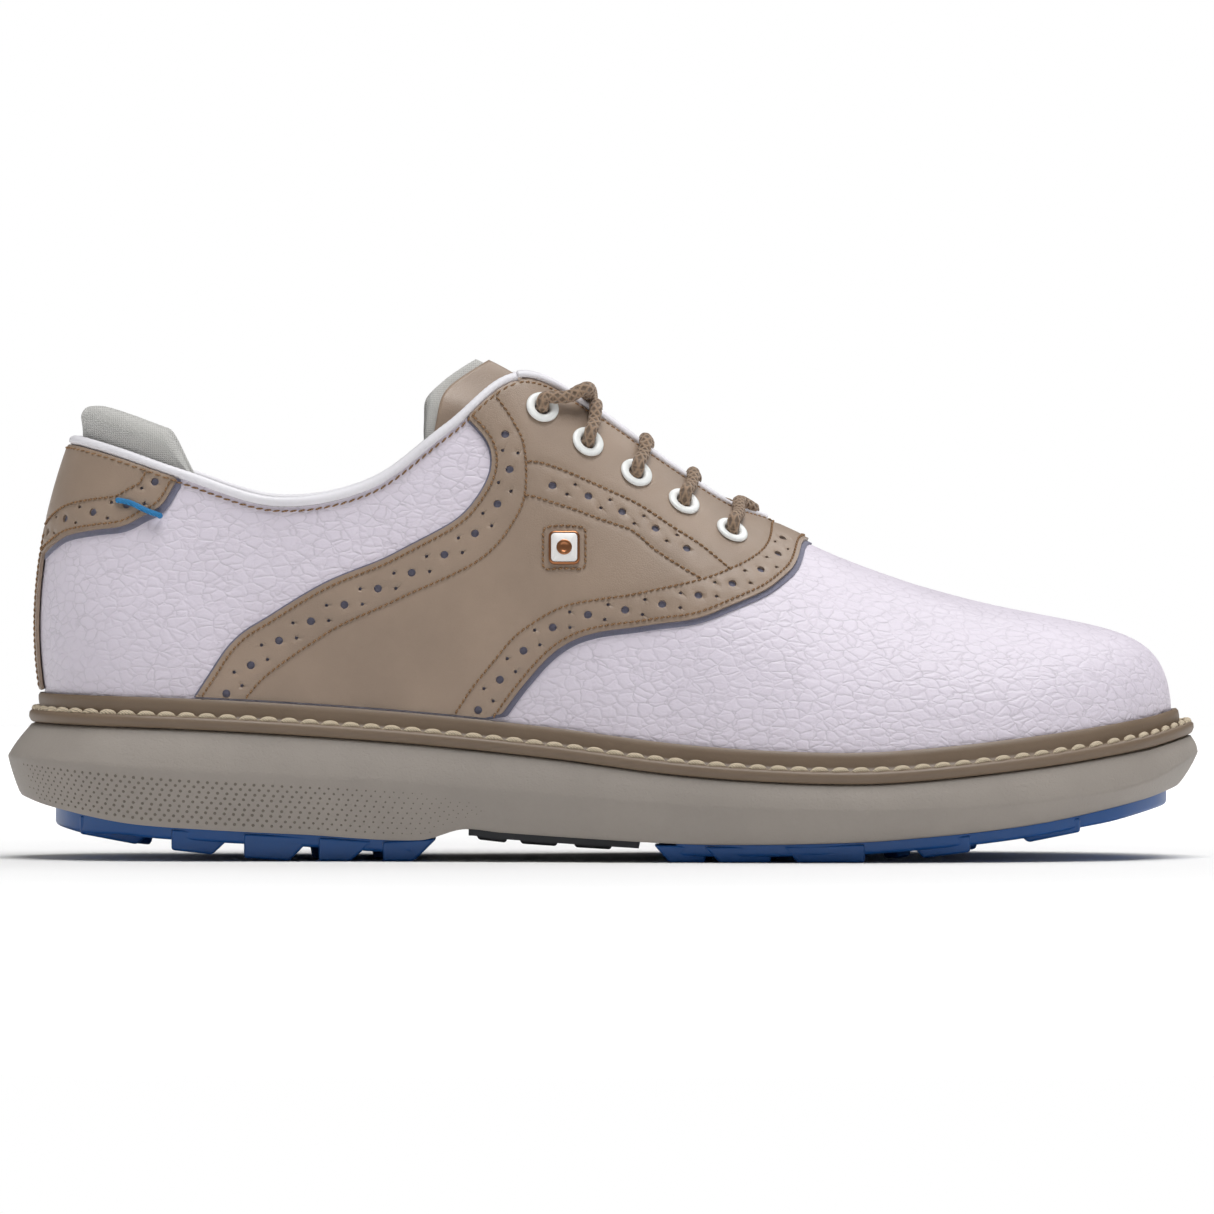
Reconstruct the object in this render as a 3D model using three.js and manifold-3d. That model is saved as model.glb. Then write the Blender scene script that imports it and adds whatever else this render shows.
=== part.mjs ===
// A spikeless saddle golf shoe for the right foot, made of the pieces that a cobbler would take it apart into.
// Millimetres. X runs from heel to toe, Y from the outer (lateral) side to the inner (medial) side, Z is up.
import * as THREE from 'three';
import { mergeVertices } from 'three/addons/utils/BufferGeometryUtils.js';
import Module from 'manifold-3d';

const wasm = await Module();
wasm.setup();

const LATERAL = -1;
const MEDIAL = 1;
const SIDES = [['lateral', LATERAL], ['medial', MEDIAL]];
const UP = new THREE.Vector3(0, 0, 1);
const lerp = THREE.MathUtils.lerp;
const point = (x, y, z) => new THREE.Vector3(x, y, z);

// ---------------------------------------------------------------- leather, lining and gaps (thicknesses)

// Clearances: between separate pieces, between layers sewn face to face, and round a hidden stiffener.
const GAP = 0.3;
const FLUSH = 1;
const POCKET = 1.4;
const LEATHER = 1.2;
const STIFFENER = 0.7;
const LINING = 0.9;
const UNDERLAY = 0.4;
const OVERLAY = 1.1;
const LACE_DIAMETER = 3.1;
const COLLAR_PIPING = 2.4;
const THROAT_PIPING = 1.3;

// Depth of each layer's inner and outer face, measured outwards from the outer face of the white leather.
const LAYER = {
  overlay: [2 * FLUSH + UNDERLAY, 2 * FLUSH + UNDERLAY + OVERLAY],
  underlay: [FLUSH, FLUSH + UNDERLAY],
  leather: [-LEATHER, 0],
  stiffener: [-LEATHER - POCKET - STIFFENER, -LEATHER - POCKET],
  lining: [-LEATHER - 2 * POCKET - STIFFENER - LINING, -LEATHER - 2 * POCKET - STIFFENER],
};
const OVERLAY_TOP = LAYER.overlay[1];
const LINING_BACK = LAYER.lining[0];
const LACE_DEPTH = LINING_BACK - 1.5 * GAP - LACE_DIAMETER / 2;
const TONGUE_DEPTH = LACE_DEPTH - LACE_DIAMETER / 2 - 7 * GAP;

// ---------------------------------------------------------------- heights along the shoe

// A smooth height z(x) through a few points [x, z] given from heel to toe.
function heightAlong(points) {
  const slope = (i) => {
    const before = points[Math.max(i - 1, 0)];
    const after = points[Math.min(i + 1, points.length - 1)];
    return (after[1] - before[1]) / (after[0] - before[0]);
  };
  return (x) => {
    if (x <= points[0][0]) return points[0][1] + slope(0) * (x - points[0][0]);
    let i = points.findIndex((p) => p[0] > x) - 1;
    if (i < 0) i = points.length - 2;
    const [x0, z0] = points[i];
    const [x1, z1] = points[i + 1];
    const span = x1 - x0;
    const k = (x - x0) / span;
    const bend = (1 - k) * (1 - k) * k * slope(i) - (1 - k) * k * k * slope(i + 1);
    return z0 + (z1 - z0) * k * k * (3 - 2 * k) + span * bend;
  };
}

const midsoleTop = heightAlong([[-148, 35], [-100, 33.4], [-52, 30.3], [-13, 26.4], [20, 22.2], [51, 20.2],
  [75, 20.3], [110, 23.8], [139, 28.4], [152, 31.8]]);
const midsoleWidest = heightAlong([[-154, 26.4], [-103, 22.8], [-52, 20.2], [-26, 18.1], [13, 15], [51, 13.4],
  [82, 13.4], [110, 15.3], [139, 19.7], [154, 27.2]]);
const midsoleBottom = heightAlong([[-151, 16.6], [-143, 14], [-123, 9.9], [-103, 8.3], [-77, 7], [-47, 5.6],
  [-36, 8.4], [-26, 7.6], [0, 5.9], [23, 4.8], [51, 4.9], [75, 5.9], [110, 9.6], [139, 15.6], [149, 18.9]]);
const tread = heightAlong([[-146, 9.4], [-127, 5], [-106, 2.2], [-88, 0.5], [-80, 0], [-40, 0], [10, 0], [66, 0],
  [74, 0.3], [88, 1.8], [116, 6], [137, 11.3], [147, 14]]);
const ground = (x) => Math.max(tread(x), 0);
const WELT_THICKNESS = 3.6;
const RAND_RISE = 8.2;
const weltTop = (x) => midsoleTop(x) + WELT_THICKNESS;
const randTop = (x) => midsoleTop(x) + RAND_RISE;

// ---------------------------------------------------------------- the last: the surface of the upper

// Ribs run up the last from the sole line to the top line: round the heel, along the collar, down the throat
// and then along the ridge of the vamp. Each row: foot x, lateral y, medial y; top x, y, z;
// how far the foot handle reaches out and up; how far the top handle reaches out and down.
const RIBS = [
  [-142.5, 0, 0, -136.5, 0, 107.8, 6.5, 24, 8.5, 23],
  [-138, 16.5, 16.5, -133, 12, 107.4, 6, 23, 7, 22],
  [-126, 28.5, 28.5, -123.5, 20.5, 104.6, 4.5, 21, 5, 21],
  [-108, 33.3, 33, -108, 25.5, 99.3, 3, 20, 3.5, 20],
  [-84, 35, 32, -84, 28.5, 92.4, 2, 20, 2.5, 18],
  [-58, 36, 30.5, -60, 29.5, 96.8, 1.5, 22, 3, 20],
  [-34, 38.5, 31.5, -40, 27.5, 111.4, 1, 28, 6, 24],
  [-12, 42, 35, -22, 20.5, 124.3, 0.5, 33, 13, 20],
  [12, 46, 41.5, -3, 15.5, 114.8, 1, 33, 17, 17],
  [34, 49, 47, 14, 12.5, 102.2, 1.5, 30, 20, 13],
  [56, 50.3, 50.1, 31, 9, 90.8, 2, 27, 23, 10],
  [78, 48.5, 50, 42, 0, 86.4, 2, 25, 30, 8],
  [100, 44.5, 47.5, 60, 0, 78.2, 2, 25, 31, 8],
  [120, 37, 40.5, 77, 0, 71.9, 2, 26, 33, 8],
  [137, 24.5, 27, 88, 0, 68.6, 2, 29, 37, 9],
  [147, 0, 0, 95, 0, 66.6, 1.5, 31, 40, 9],
];
const TOE = RIBS.length - 1;
const ROUND = 2 * TOE;
const THROAT_TOP = 7;
const THROAT_END = 11;

// A row of RIBS at any place s from 0 (heel) to TOE, on one side, with the other side's rows past both ends.
function ribRow(side, s) {
  const at = (i) => {
    const beyond = i < 0 || i > TOE;
    const row = RIBS[i < 0 ? -i : i > TOE ? ROUND - i : i];
    const foot = (side === LATERAL) === beyond ? row[2] : row[1];
    const flip = beyond ? -side : side;
    return [row[0], flip * foot, row[3], flip * row[4], ...row.slice(5)];
  };
  const i = Math.min(Math.floor(s), TOE - 1);
  const k = s - i;
  const [a, b, c, d] = [at(i - 1), at(i), at(i + 1), at(i + 2)];
  const row = b.map((value, j) => value + 0.5 * k * (c[j] - a[j]
    + k * (2 * a[j] - 5 * value + 4 * c[j] - d[j] + k * (3 * (value - c[j]) + d[j] - a[j]))));
  if (s >= THROAT_END) row[3] = 0;
  return row;
}

// Going right round the shoe: 0 is the heel, 0 to TOE the lateral side, TOE to ROUND the medial side.
function place(round) {
  const r = ((round % ROUND) + ROUND) % ROUND;
  return r <= TOE ? [LATERAL, r] : [MEDIAL, ROUND - r];
}
const roundOf = (side, s) => (side === LATERAL ? s : ROUND - s);

// The sole line in plan, with the direction that points out of the shoe.
function soleLine(round, grow = 0) {
  const [side, s] = place(round);
  const [x, y] = ribRow(side, s);
  const back = ribRow(side, Math.max(s - 0.02, 0));
  const front = ribRow(side, Math.min(s + 0.02, TOE));
  const out = new THREE.Vector2(-side * (front[1] - back[1]), side * (front[0] - back[0])).normalize();
  if (s < 0.02) out.set(-1, 0);
  if (s > TOE - 0.02) out.set(1, 0);
  return { x: x + out.x * grow, y: y + out.y * grow, out };
}

// The outer face of the white leather, at a place round the shoe and a height t from 0 (sole) to 1 (top line).
function upper(round, t) {
  const [side, s] = place(round);
  const row = ribRow(side, s);
  const { out } = soleLine(round);
  const foot = point(row[0], row[1], midsoleTop(row[0]) + GAP);
  const top = point(row[2], row[3], row[4]);
  const lean = point(foot.x - top.x, foot.y - top.y, 0).normalize();
  const footHandle = foot.clone().add(point(out.x * row[5], out.y * row[5], row[6]));
  const topHandle = top.clone().addScaledVector(lean, row[7]).addScaledVector(UP, -row[8]);
  return new THREE.CubicBezierCurve3(foot, footHandle, topHandle, top).getPoint(t);
}

// The same, raised off the leather by some millimetres, or sunk below it where the number is negative.
function upperOffset(round, t, raise) {
  const step = 0.03;
  // The ribs run together at the ridge of the vamp, so the way out is taken a little below it.
  const level = place(round)[1] > THROAT_END ? Math.min(t, 0.93) : t;
  const along = upper(round + step, level).sub(upper(round - step, level));
  const rise = upper(round, Math.min(level + step, 1)).sub(upper(round, Math.max(level - step, 0)));
  const normal = along.cross(rise).normalize();
  return upper(round, t).addScaledVector(normal, raise);
}
const upperNormal = (round, t) => upperOffset(round, t, 1).sub(upper(round, t));

// The height t that lies some millimetres below the top line.
function belowTop(round, distance) {
  const [side, s] = place(round);
  const row = ribRow(side, s);
  return 1 - distance / (3 * Math.hypot(row[7], row[8]));
}

// The height t at which a rib reaches the height z.
function heightOn(round, z) {
  let low = 0;
  let high = 1;
  for (let i = 0; i < 24; i += 1) {
    const middle = (low + high) / 2;
    if (upper(round, middle).z < z) low = middle;
    else high = middle;
  }
  return low;
}

// The place on one side of the upper that is seen at (x, z) in side view, by closing in on it.
function locate(side, x, z) {
  const miss = (s, t) => {
    const p = upper(roundOf(side, s), t);
    return Math.hypot(p.x - x, p.z - z);
  };
  let best = [0, 0, Infinity];
  const tryAt = (s, t) => {
    const clamped = [THREE.MathUtils.clamp(s, 0, TOE), THREE.MathUtils.clamp(t, 0, 1)];
    const distance = miss(...clamped);
    if (distance < best[2]) best = [...clamped, distance];
  };
  for (let i = 0; i <= 2 * TOE; i += 1) for (let j = 0; j <= 10; j += 1) tryAt(i / 2, j / 10);
  for (let step = 0.25; step > 1e-4; step /= 1.6) {
    for (const [ds, dt] of [[1, 0], [-1, 0], [0, 1], [0, -1], [1, 1], [-1, -1], [1, -1], [-1, 1]]) {
      tryAt(best[0] + ds * step, best[1] + dt * step * 0.4);
    }
  }
  return [roundOf(side, best[0]), best[1]];
}

// A line drawn on one side of the upper, through points [x, z] in side view; it returns [round, t] along it.
function drawnLine(side, points) {
  const places = points.map(([x, z]) => locate(side, x, z));
  const curve = new THREE.SplineCurve(places.map(([round, t]) => new THREE.Vector2(round, 8 * t)));
  return (k) => {
    const p = curve.getPointAt(k);
    return [p.x, p.y / 8];
  };
}

// ---------------------------------------------------------------- making closed solids

// A closed solid from corners and triangles: shared corners joined, empty triangles left out, facing out.
function solid(corners, triangles) {
  const loose = new THREE.BufferGeometry();
  loose.setAttribute('position', new THREE.Float32BufferAttribute(corners.flatMap((p) => p.toArray()), 3));
  loose.setIndex(triangles.flat());
  const joined = mergeVertices(loose, 1e-3);
  const index = [...joined.index.array];
  const position = joined.attributes.position;
  const [a, b, c] = [point(), point(), point()];
  let kept = [];
  let volume = 0;
  for (let i = 0; i < index.length; i += 3) {
    const [p, q, r] = index.slice(i, i + 3);
    if (p === q || q === r || r === p) continue;
    kept.push(p, q, r);
    volume += a.fromBufferAttribute(position, p).dot(
      b.fromBufferAttribute(position, q).cross(c.fromBufferAttribute(position, r)));
  }
  if (volume < 0) kept = kept.reverse();
  joined.setIndex(kept);
  return joined;
}

// A solid through a row of closed loops with the same number of corners; its ends are filled, or joined up.
function loft(loops, endless = false) {
  const size = loops[0].length;
  const triangles = [];
  const last = endless ? loops.length : loops.length - 1;
  for (let i = 0; i < last; i += 1) {
    const here = i * size;
    const next = ((i + 1) % loops.length) * size;
    for (let j = 0; j < size; j += 1) {
      const k = (j + 1) % size;
      triangles.push([here + j, here + k, next + k], [here + j, next + k, next + j]);
    }
  }
  if (!endless) {
    const end = (loops.length - 1) * size;
    for (let j = 1; j < size - 1; j += 1) triangles.push([0, j + 1, j], [end, end + j, end + j + 1]);
  }
  return solid(loops.flat(), triangles);
}

// A sheet given as surface(u, v, depth), thickened between two depths; u turned to v looks out of the shoe.
function shell(surface, columns, rows, [inside, outside]) {
  const seen = new Map();
  const kept = [];
  const at = [];
  for (let i = 0; i <= columns; i += 1) {
    for (let j = 0; j <= rows; j += 1) {
      const corner = surface(i / columns, j / rows, 0).toArray();
      const key = corner.map((value) => Math.round(value * 500)).join();
      if (!seen.has(key)) seen.set(key, kept.push([i / columns, j / rows]) - 1);
      at.push(seen.get(key));
    }
  }
  const faces = [];
  const open = new Map();
  const face = (p, q, r) => {
    if (p === q || q === r || r === p) return;
    faces.push([p, q, r], [p + kept.length, r + kept.length, q + kept.length]);
    for (const [from, to] of [[p, q], [q, r], [r, p]]) {
      if (!open.delete(`${to} ${from}`)) open.set(`${from} ${to}`, [from, to]);
    }
  };
  for (let i = 0; i < columns; i += 1) {
    for (let j = 0; j < rows; j += 1) {
      const low = i * (rows + 1) + j;
      const next = low + rows + 1;
      face(at[low], at[next], at[next + 1]);
      face(at[low], at[next + 1], at[low + 1]);
    }
  }
  for (const [from, to] of open.values()) {
    faces.push([to, from, from + kept.length], [to, from + kept.length, to + kept.length]);
  }
  return solid([outside, inside].flatMap((depth) => kept.map(([u, v]) => surface(u, v, depth))), faces);
}

// A round cord through a list of points, with a ring of corners at each.
function cord(points, diameter, corners = 8, endless = false) {
  const n = points.length;
  const wrapped = (i) => (endless ? (i + n) % n : THREE.MathUtils.clamp(i, 0, n - 1));
  const neighbour = (i, step) => points[wrapped(i + step)];
  let side = null;
  const loops = points.map((p, i) => {
    const ahead = neighbour(i, 1).clone().sub(neighbour(i, -1)).normalize();
    if (!side) side = point(ahead.z, ahead.x, ahead.y).cross(ahead).normalize();
    side = side.clone().addScaledVector(ahead, -side.dot(ahead)).normalize();
    const other = ahead.clone().cross(side);
    return Array.from({ length: corners }, (_, k) => {
      const turn = (2 * Math.PI * k) / corners;
      return p.clone().addScaledVector(side, Math.cos(turn) * diameter / 2)
        .addScaledVector(other, Math.sin(turn) * diameter / 2);
    });
  });
  return loft(loops, endless);
}

// Solid geometry to manifold-3d and back, for cutting holes and joining lugs.
function toManifold(geometry) {
  return new wasm.Manifold(new wasm.Mesh({
    numProp: 3,
    vertProperties: new Float32Array(geometry.attributes.position.array),
    triVerts: new Uint32Array(geometry.index.array),
  }));
}

function fromManifold(manifold) {
  const { numProp, vertProperties, triVerts } = manifold.getMesh();
  const corners = [];
  for (let i = 0; i < vertProperties.length; i += numProp) {
    corners.push(point(...vertProperties.slice(i, i + 3)));
  }
  const triangles = [];
  for (let i = 0; i < triVerts.length; i += 3) triangles.push([...triVerts.slice(i, i + 3)]);
  return solid(corners, triangles);
}

function drilled(geometry, drills) {
  const left = drills.reduce((rest, drill) => rest.subtract(toManifold(drill)), toManifold(geometry));
  return fromManifold(left);
}

function joined(geometries) {
  return fromManifold(geometries.map(toManifold).reduce((all, one) => all.add(one)));
}

// ---------------------------------------------------------------- finishes

const FINISH = {
  white: [0xe9e6ee, 0.62, 0],
  tan: [0x8d7962, 0.5, 0],
  piping: [0xf1eff4, 0.55, 0],
  underlay: [0x757a94, 0.8, 0],
  knit: [0xc9c8c3, 0.9, 0],
  lining: [0xb9b8b4, 0.9, 0],
  foam: [0xd8cfa9, 0.95, 0],
  board: [0xb79b74, 0.9, 0],
  midsole: [0xaca59a, 0.7, 0],
  blue: [0x2b74b5, 0.4, 0],
  dark: [0x33363b, 0.6, 0],
  welt: [0x8a7763, 0.65, 0],
  cream: [0xd8c9ae, 0.8, 0],
  lace: [0x8b7760, 0.85, 0],
  eyelet: [0xf0f1f0, 0.35, 0],
  steel: [0x9a9da1, 0.35, 1],
  copper: [0xa8724a, 0.35, 0.8],
};

const shoe = new THREE.Group();
shoe.name = 'golf_shoe';

function add(name, geometry, finish) {
  const [color, roughness, metalness] = FINISH[finish];
  const mesh = new THREE.Mesh(geometry, new THREE.MeshStandardMaterial({ color, roughness, metalness }));
  mesh.name = name;
  shoe.add(mesh);
}

// ---------------------------------------------------------------- sole

const WIDEST_GROW = [[0, 11.4], [2, 9.5], [4, 7.5], [8, 6.6], [TOE, 6.9]];

// How far the midsole stands out of the sole line at its widest, at a place s from heel to toe.
function widestGrow(s) {
  const i = Math.max(WIDEST_GROW.findIndex(([at]) => at >= s), 1);
  const [[s0, g0], [s1, g1]] = [WIDEST_GROW[i - 1], WIDEST_GROW[i]];
  return THREE.MathUtils.mapLinear(s, s0, s1, g0, g1);
}

// A layer of the sole between two places along the shoe, with levels [grow, height] from top to bottom.
function slab(from, to, steps, levels) {
  const loops = [];
  for (let i = 0; i <= steps; i += 1) {
    const s = lerp(from, to, i / steps);
    const corner = (side, [grow, height]) => {
      const { x, y } = soleLine(roundOf(side, s), typeof grow === 'function' ? grow(s) : grow);
      return point(x, y, height(x));
    };
    loops.push([
      ...levels.map((level) => corner(LATERAL, level)),
      ...[...levels].reverse().map((level) => corner(MEDIAL, level)),
    ]);
  }
  return loft(loops);
}

const above = (height, rise) => (x) => height(x) + rise;

const PLATE_INSET = -1;
const PLATE_THICKNESS = 3;
const BRIDGE_THICKNESS = 1.6;
const BOARD_INSET = -6.2;
const FILLER_THICKNESS = 1.6;
const BOARD_THICKNESS = 1.8;
const FOOTBED_THICKNESS = 4.6;
const fillerBottom = above(midsoleTop, GAP);
const boardBottom = above(fillerBottom, FILLER_THICKNESS + GAP);
const footbedBottom = above(boardBottom, BOARD_THICKNESS + GAP);
const footbedTop = above(footbedBottom, FOOTBED_THICKNESS);

const lowerGrow = (s) => widestGrow(s) - lerp(3.2, 5, s / TOE);
const midsoleLevels = [[4.8, midsoleTop], [widestGrow, midsoleWidest], [lowerGrow, midsoleBottom]];
add('midsole', slab(0, TOE, 30, midsoleLevels), 'midsole');

// One tread lug: a block that tapers from the plate to the ground, between two places in X and two in Y.
function lug([rootBack, rootFront], [tipBack, tipFront], [outer, inner]) {
  const taper = 0.6 * Math.sign(inner - outer);
  const loopAt = (y, tipY) => [
    point(rootBack, y, midsoleBottom(rootBack) - GAP - 0.4),
    point(rootFront, y, midsoleBottom(rootFront) - GAP - 0.4),
    point(tipFront, tipY, ground(tipFront)),
    point(tipBack, tipY, ground(tipBack)),
  ];
  return loft([loopAt(outer, outer + taper), loopAt(inner, inner - taper)]);
}

// How far out the tread may reach at x, on one side.
function treadEdge(side, x) {
  let best = 0;
  let nearest = Infinity;
  for (let s = 0; s <= TOE; s += 0.1) {
    const p = soleLine(roundOf(side, s), PLATE_INSET + 0.8);
    if (Math.abs(p.x - x) < nearest) [nearest, best] = [Math.abs(p.x - x), p.y];
  }
  return best;
}

const HEEL_LUGS = [[-134.8, -120.2], [-111, -100.5], [-92.3, -80.6], [-73.1, -64.9], [-56.6, -48.6]];
const FOREFOOT_LUGS = [[17.1, 26.4], [30, 43.2], [50.1, 67.3], [82.3, 94.4], [109.4, 122.8]];
const EDGE_LUG_DEPTH = 15;
const HEEL_SLOPE = 6;
const FOREFOOT_SLOPE = 4;
const NUB = 4.6;

// Rows of square nubs set on their corners, between the edge lugs.
function nubs(places) {
  return places.map(([x, y]) => {
    const ring = (size, height) => [[size, 0], [0, size], [-size, 0], [0, -size]]
      .map(([dx, dy]) => point(x + dx, y + dy, height(x + dx)));
    return loft([ring(NUB, above(midsoleBottom, -GAP - 0.4)), ring(NUB - 1, ground)]);
  });
}

// Towards the heel and toe ends the plates come down nearly to the tread.
const PLATE_END = [122, 136];
const plateBottom = (x) => lerp(midsoleBottom(x) - GAP - PLATE_THICKNESS, ground(x) + 0.3,
  THREE.MathUtils.smoothstep(Math.abs(x), ...PLATE_END));

function outsole(from, to, lugs, slope, nubPlaces) {
  const plate = slab(from, to, 20, [[PLATE_INSET, above(midsoleBottom, -GAP)], [PLATE_INSET, plateBottom]]);
  const blocks = lugs.flatMap(([back, front]) => SIDES.map(([, side]) => {
    const reach = Math.min(Math.abs(treadEdge(side, back)), Math.abs(treadEdge(side, front)));
    const root = slope > 0 ? [back, front + slope] : [back + slope, front];
    return lug(root, [back, front], [side * reach, side * (reach - EDGE_LUG_DEPTH)]);
  }));
  return joined([plate, ...blocks, ...nubs(nubPlaces)]);
}

const nubGrid = (xs, ys) => xs.flatMap((x, i) => ys.map((y) => [x, y + (i % 2) * 0.5 * (ys[1] - ys[0])]));
const heelNubs = nubGrid([-120, -104, -88, -72, -56], [-8, 4]);
add('outsole_heel', outsole(0.1, 5.35, HEEL_LUGS, HEEL_SLOPE, heelNubs), 'blue');
add('outsole_forefoot', outsole(8.3, 14.85, FOREFOOT_LUGS, -FOREFOOT_SLOPE,
  nubGrid([25, 42, 59, 76, 93], [-24, -8, 8])), 'blue');

// The arch has a dark bridge plate with three shallow bars under it.
function archPlate() {
  const plate = slab(5.95, 7.85, 6, [
    [PLATE_INSET - 4, above(midsoleBottom, -GAP)],
    [PLATE_INSET - 4, above(midsoleBottom, -GAP - BRIDGE_THICKNESS)],
  ]);
  const bar = (back, front) => {
    const loopAt = (y) => [
      point(back - 1, y, midsoleBottom(back) - GAP - 0.5),
      point(front + 1, y, midsoleBottom(front) - GAP - 0.5),
      point(front, y, midsoleBottom(front) - 3),
      point(back, y, midsoleBottom(back) - 3),
    ];
    return loft([loopAt(-26), loopAt(24)]);
  };
  return joined([plate, bar(-32, -25), bar(-20.9, -12), bar(-7, 2)]);
}
add('arch_plate', archPlate(), 'dark');

function shank() {
  const loopAt = (x, half) => [-half, half].map((y) => point(x, y, fillerBottom(x)))
    .concat([half, -half].map((y) => point(x, y, fillerBottom(x) + 1.2)));
  const halfWidths = [[-96, 7], [-88, 9.5], [-60, 9], [-40, 8.5], [-22, 8], [-14, 6]];
  return loft(halfWidths.map(([x, half]) => loopAt(x, half)));
}
add('shank', shank(), 'steel');
add('forefoot_filler', slab(7.6, 14.2, 10, [
  [BOARD_INSET, above(fillerBottom, FILLER_THICKNESS)], [BOARD_INSET, fillerBottom]]), 'foam');
add('insole_board', slab(0, TOE, 20, [
  [BOARD_INSET, above(boardBottom, BOARD_THICKNESS)], [BOARD_INSET, boardBottom]]), 'board');
add('footbed', slab(0, TOE, 22, [
  [BOARD_INSET - 0.9, above(footbedTop, 1)], [BOARD_INSET - 5, footbedTop], [BOARD_INSET - 8, footbedBottom],
]), 'foam');

// The welt: a ledge that carries the stitching, and a thin rand that stands up against the upper.
const WELT_GROW = 5.4;
const RAND_THICKNESS = 1.7;
const RAND_GAP = 0.6;
function weltLoop(round) {
  const ledge = (grow, height) => {
    const { x, y } = soleLine(round, grow);
    return point(x, y, height(x));
  };
  const x = soleLine(round).x;
  const inner = (z, raise) => upperOffset(round, heightOn(round, z), raise);
  return [
    inner(midsoleTop(x) + 0.6, RAND_GAP),
    ledge(WELT_GROW, above(midsoleTop, GAP)),
    ledge(WELT_GROW + 0.3, weltTop),
    inner(weltTop(x), RAND_GAP + RAND_THICKNESS),
    inner(randTop(x), RAND_GAP + RAND_THICKNESS * 0.7),
    inner(randTop(x), RAND_GAP),
  ];
}
const roundTheShoe = (steps) => Array.from({ length: steps }, (_, i) => (ROUND * i) / steps);
add('welt', loft(roundTheShoe(48).map(weltLoop), true), 'welt');

const WELT_THREAD = 1.5;
add('welt_stitching', cord(roundTheShoe(48).map((round) => {
  const { x, y } = soleLine(round, WELT_GROW - 1.3);
  return point(x, y, weltTop(x) + WELT_THREAD / 2 + 0.2);
}), WELT_THREAD, 6, true), 'cream');

// ---------------------------------------------------------------- upper

function edgeGap(round) {
  return place(round)[1] < THROAT_TOP ? COLLAR_PIPING / 2 + 4 * GAP : THROAT_PIPING / 2 + 3.2 * GAP;
}
// The top edge of a piece: under the piping, or at the middle of the vamp where there is no opening.
const topEdge = (round) => (place(round)[1] < THROAT_END - 0.08 ? belowTop(round, edgeGap(round)) : 1);

// A piece that spans between two lines on the upper, each giving [round, t] from its lower to its upper end.
const between = (first, second) => (u, v) => {
  const [round0, t0] = first(v);
  const [round1, t1] = second(v);
  const round = lerp(round0, round1, u);
  return [round, Math.min(lerp(t0, t1, u), topEdge(round))];
};
// Turns a map (u, v) to [round, t] into a surface for shell().
const onUpper = (map) => (u, v, depth) => upperOffset(...map(u, v), depth);

// The line where the vamp meets the quarter, hidden under the saddle.
const VAMP_SEAM = [[-50, 31], [-30, 50], [-4, 66], [22, 76], [42, 86.4]];
const toeLine = (v) => [TOE, v];
const SEAM_GAP = 0.04;
const vampSeam = drawnLine(LATERAL, VAMP_SEAM);

// The seam on either side, at the same ribs; its upper end is exactly on the top line.
const seamOn = (side) => (v) => {
  const [s, t] = vampSeam(v);
  return [roundOf(side, s), v === 1 ? 1 : t];
};

// A quarter covers one side of the foot from the seam at the heel to the vamp.
function quarterMap(side) {
  const front = (v) => {
    const [round, t] = seamOn(side)(v);
    return [round + side * SEAM_GAP, t];
  };
  const back = (v) => [side === LATERAL ? SEAM_GAP : ROUND - SEAM_GAP, v];
  return side === LATERAL ? between(back, front) : between(front, back);
}

function vampMap() {
  const lateralHalf = between(seamOn(LATERAL), toeLine);
  const medialHalf = between(toeLine, seamOn(MEDIAL));
  return (u, v) => (u < 0.5 ? lateralHalf(2 * u, v) : medialHalf(2 * u - 1, v));
}
const VAMP_GRID = [32, 8];
const QUARTER_GRID = [18, 8];
add('vamp', shell(onUpper(vampMap()), ...VAMP_GRID, LAYER.leather), 'white');

const EYELETS = [[-16, 115.9], [-4.5, 106.9], [8, 98.8], [20.2, 91.3], [32.6, 83.8]];
const EYELET_HOLE = 4.2;
const EYELET_BARREL = 5;
const EYELET_FLANGE = 8.5;
const FLANGE_THICKNESS = 1;

// Where eyelet number k sits on one side: the point on the leather, the way out of the upper, and the way
// across it towards the throat.
function eyeletAt(side, k) {
  const [round, t] = locate(side, ...EYELETS[k]);
  const centre = upper(round, t);
  const out = upperNormal(round, t);
  const inward = upper(round, Math.min(t + 0.05, 1)).sub(centre).normalize();
  return { round, t, centre, out, inward };
}
const raised = (eyelet, raise, inward = 0) => eyelet.centre.clone()
  .addScaledVector(eyelet.out, raise).addScaledVector(eyelet.inward, inward);

// A round post of revolution on an eyelet's axis, from a profile of [radius, height above the leather].
function onEyelet(eyelet, profile) {
  const turned = new THREE.LatheGeometry(profile.map(([r, h]) => new THREE.Vector2(r, h)), 8);
  turned.applyQuaternion(new THREE.Quaternion().setFromUnitVectors(point(0, 1, 0), eyelet.out));
  turned.translate(...eyelet.centre.toArray());
  const corners = [];
  for (let i = 0; i < turned.attributes.position.count; i += 1) {
    corners.push(point().fromBufferAttribute(turned.attributes.position, i));
  }
  const triangles = [];
  for (let i = 0; i < turned.index.count; i += 3) {
    triangles.push([0, 1, 2].map((k) => turned.index.getX(i + k)));
  }
  return solid(corners, triangles);
}

function drills(side) {
  const radius = EYELET_BARREL / 2 + 0.35;
  const drill = [[0, -8], [radius, -8], [radius, 5], [0, 5]];
  return EYELETS.map((_, k) => onEyelet(eyeletAt(side, k), drill));
}

const SADDLE_REAR = [[-105, 41.5], [-95.1, 56.1], [-81.9, 65.7], [-53, 79.1], [-38.7, 86.8], [-30, 96],
  [-28.6, 106], [-36, 115]];
const SADDLE_FRONT = [[-29, 35], [-15.5, 50.9], [-0.7, 59], [25.7, 62.8], [45.5, 72], [53.5, 81.4]];
const UNDERLAY_SHOWS = 1.3;

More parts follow.
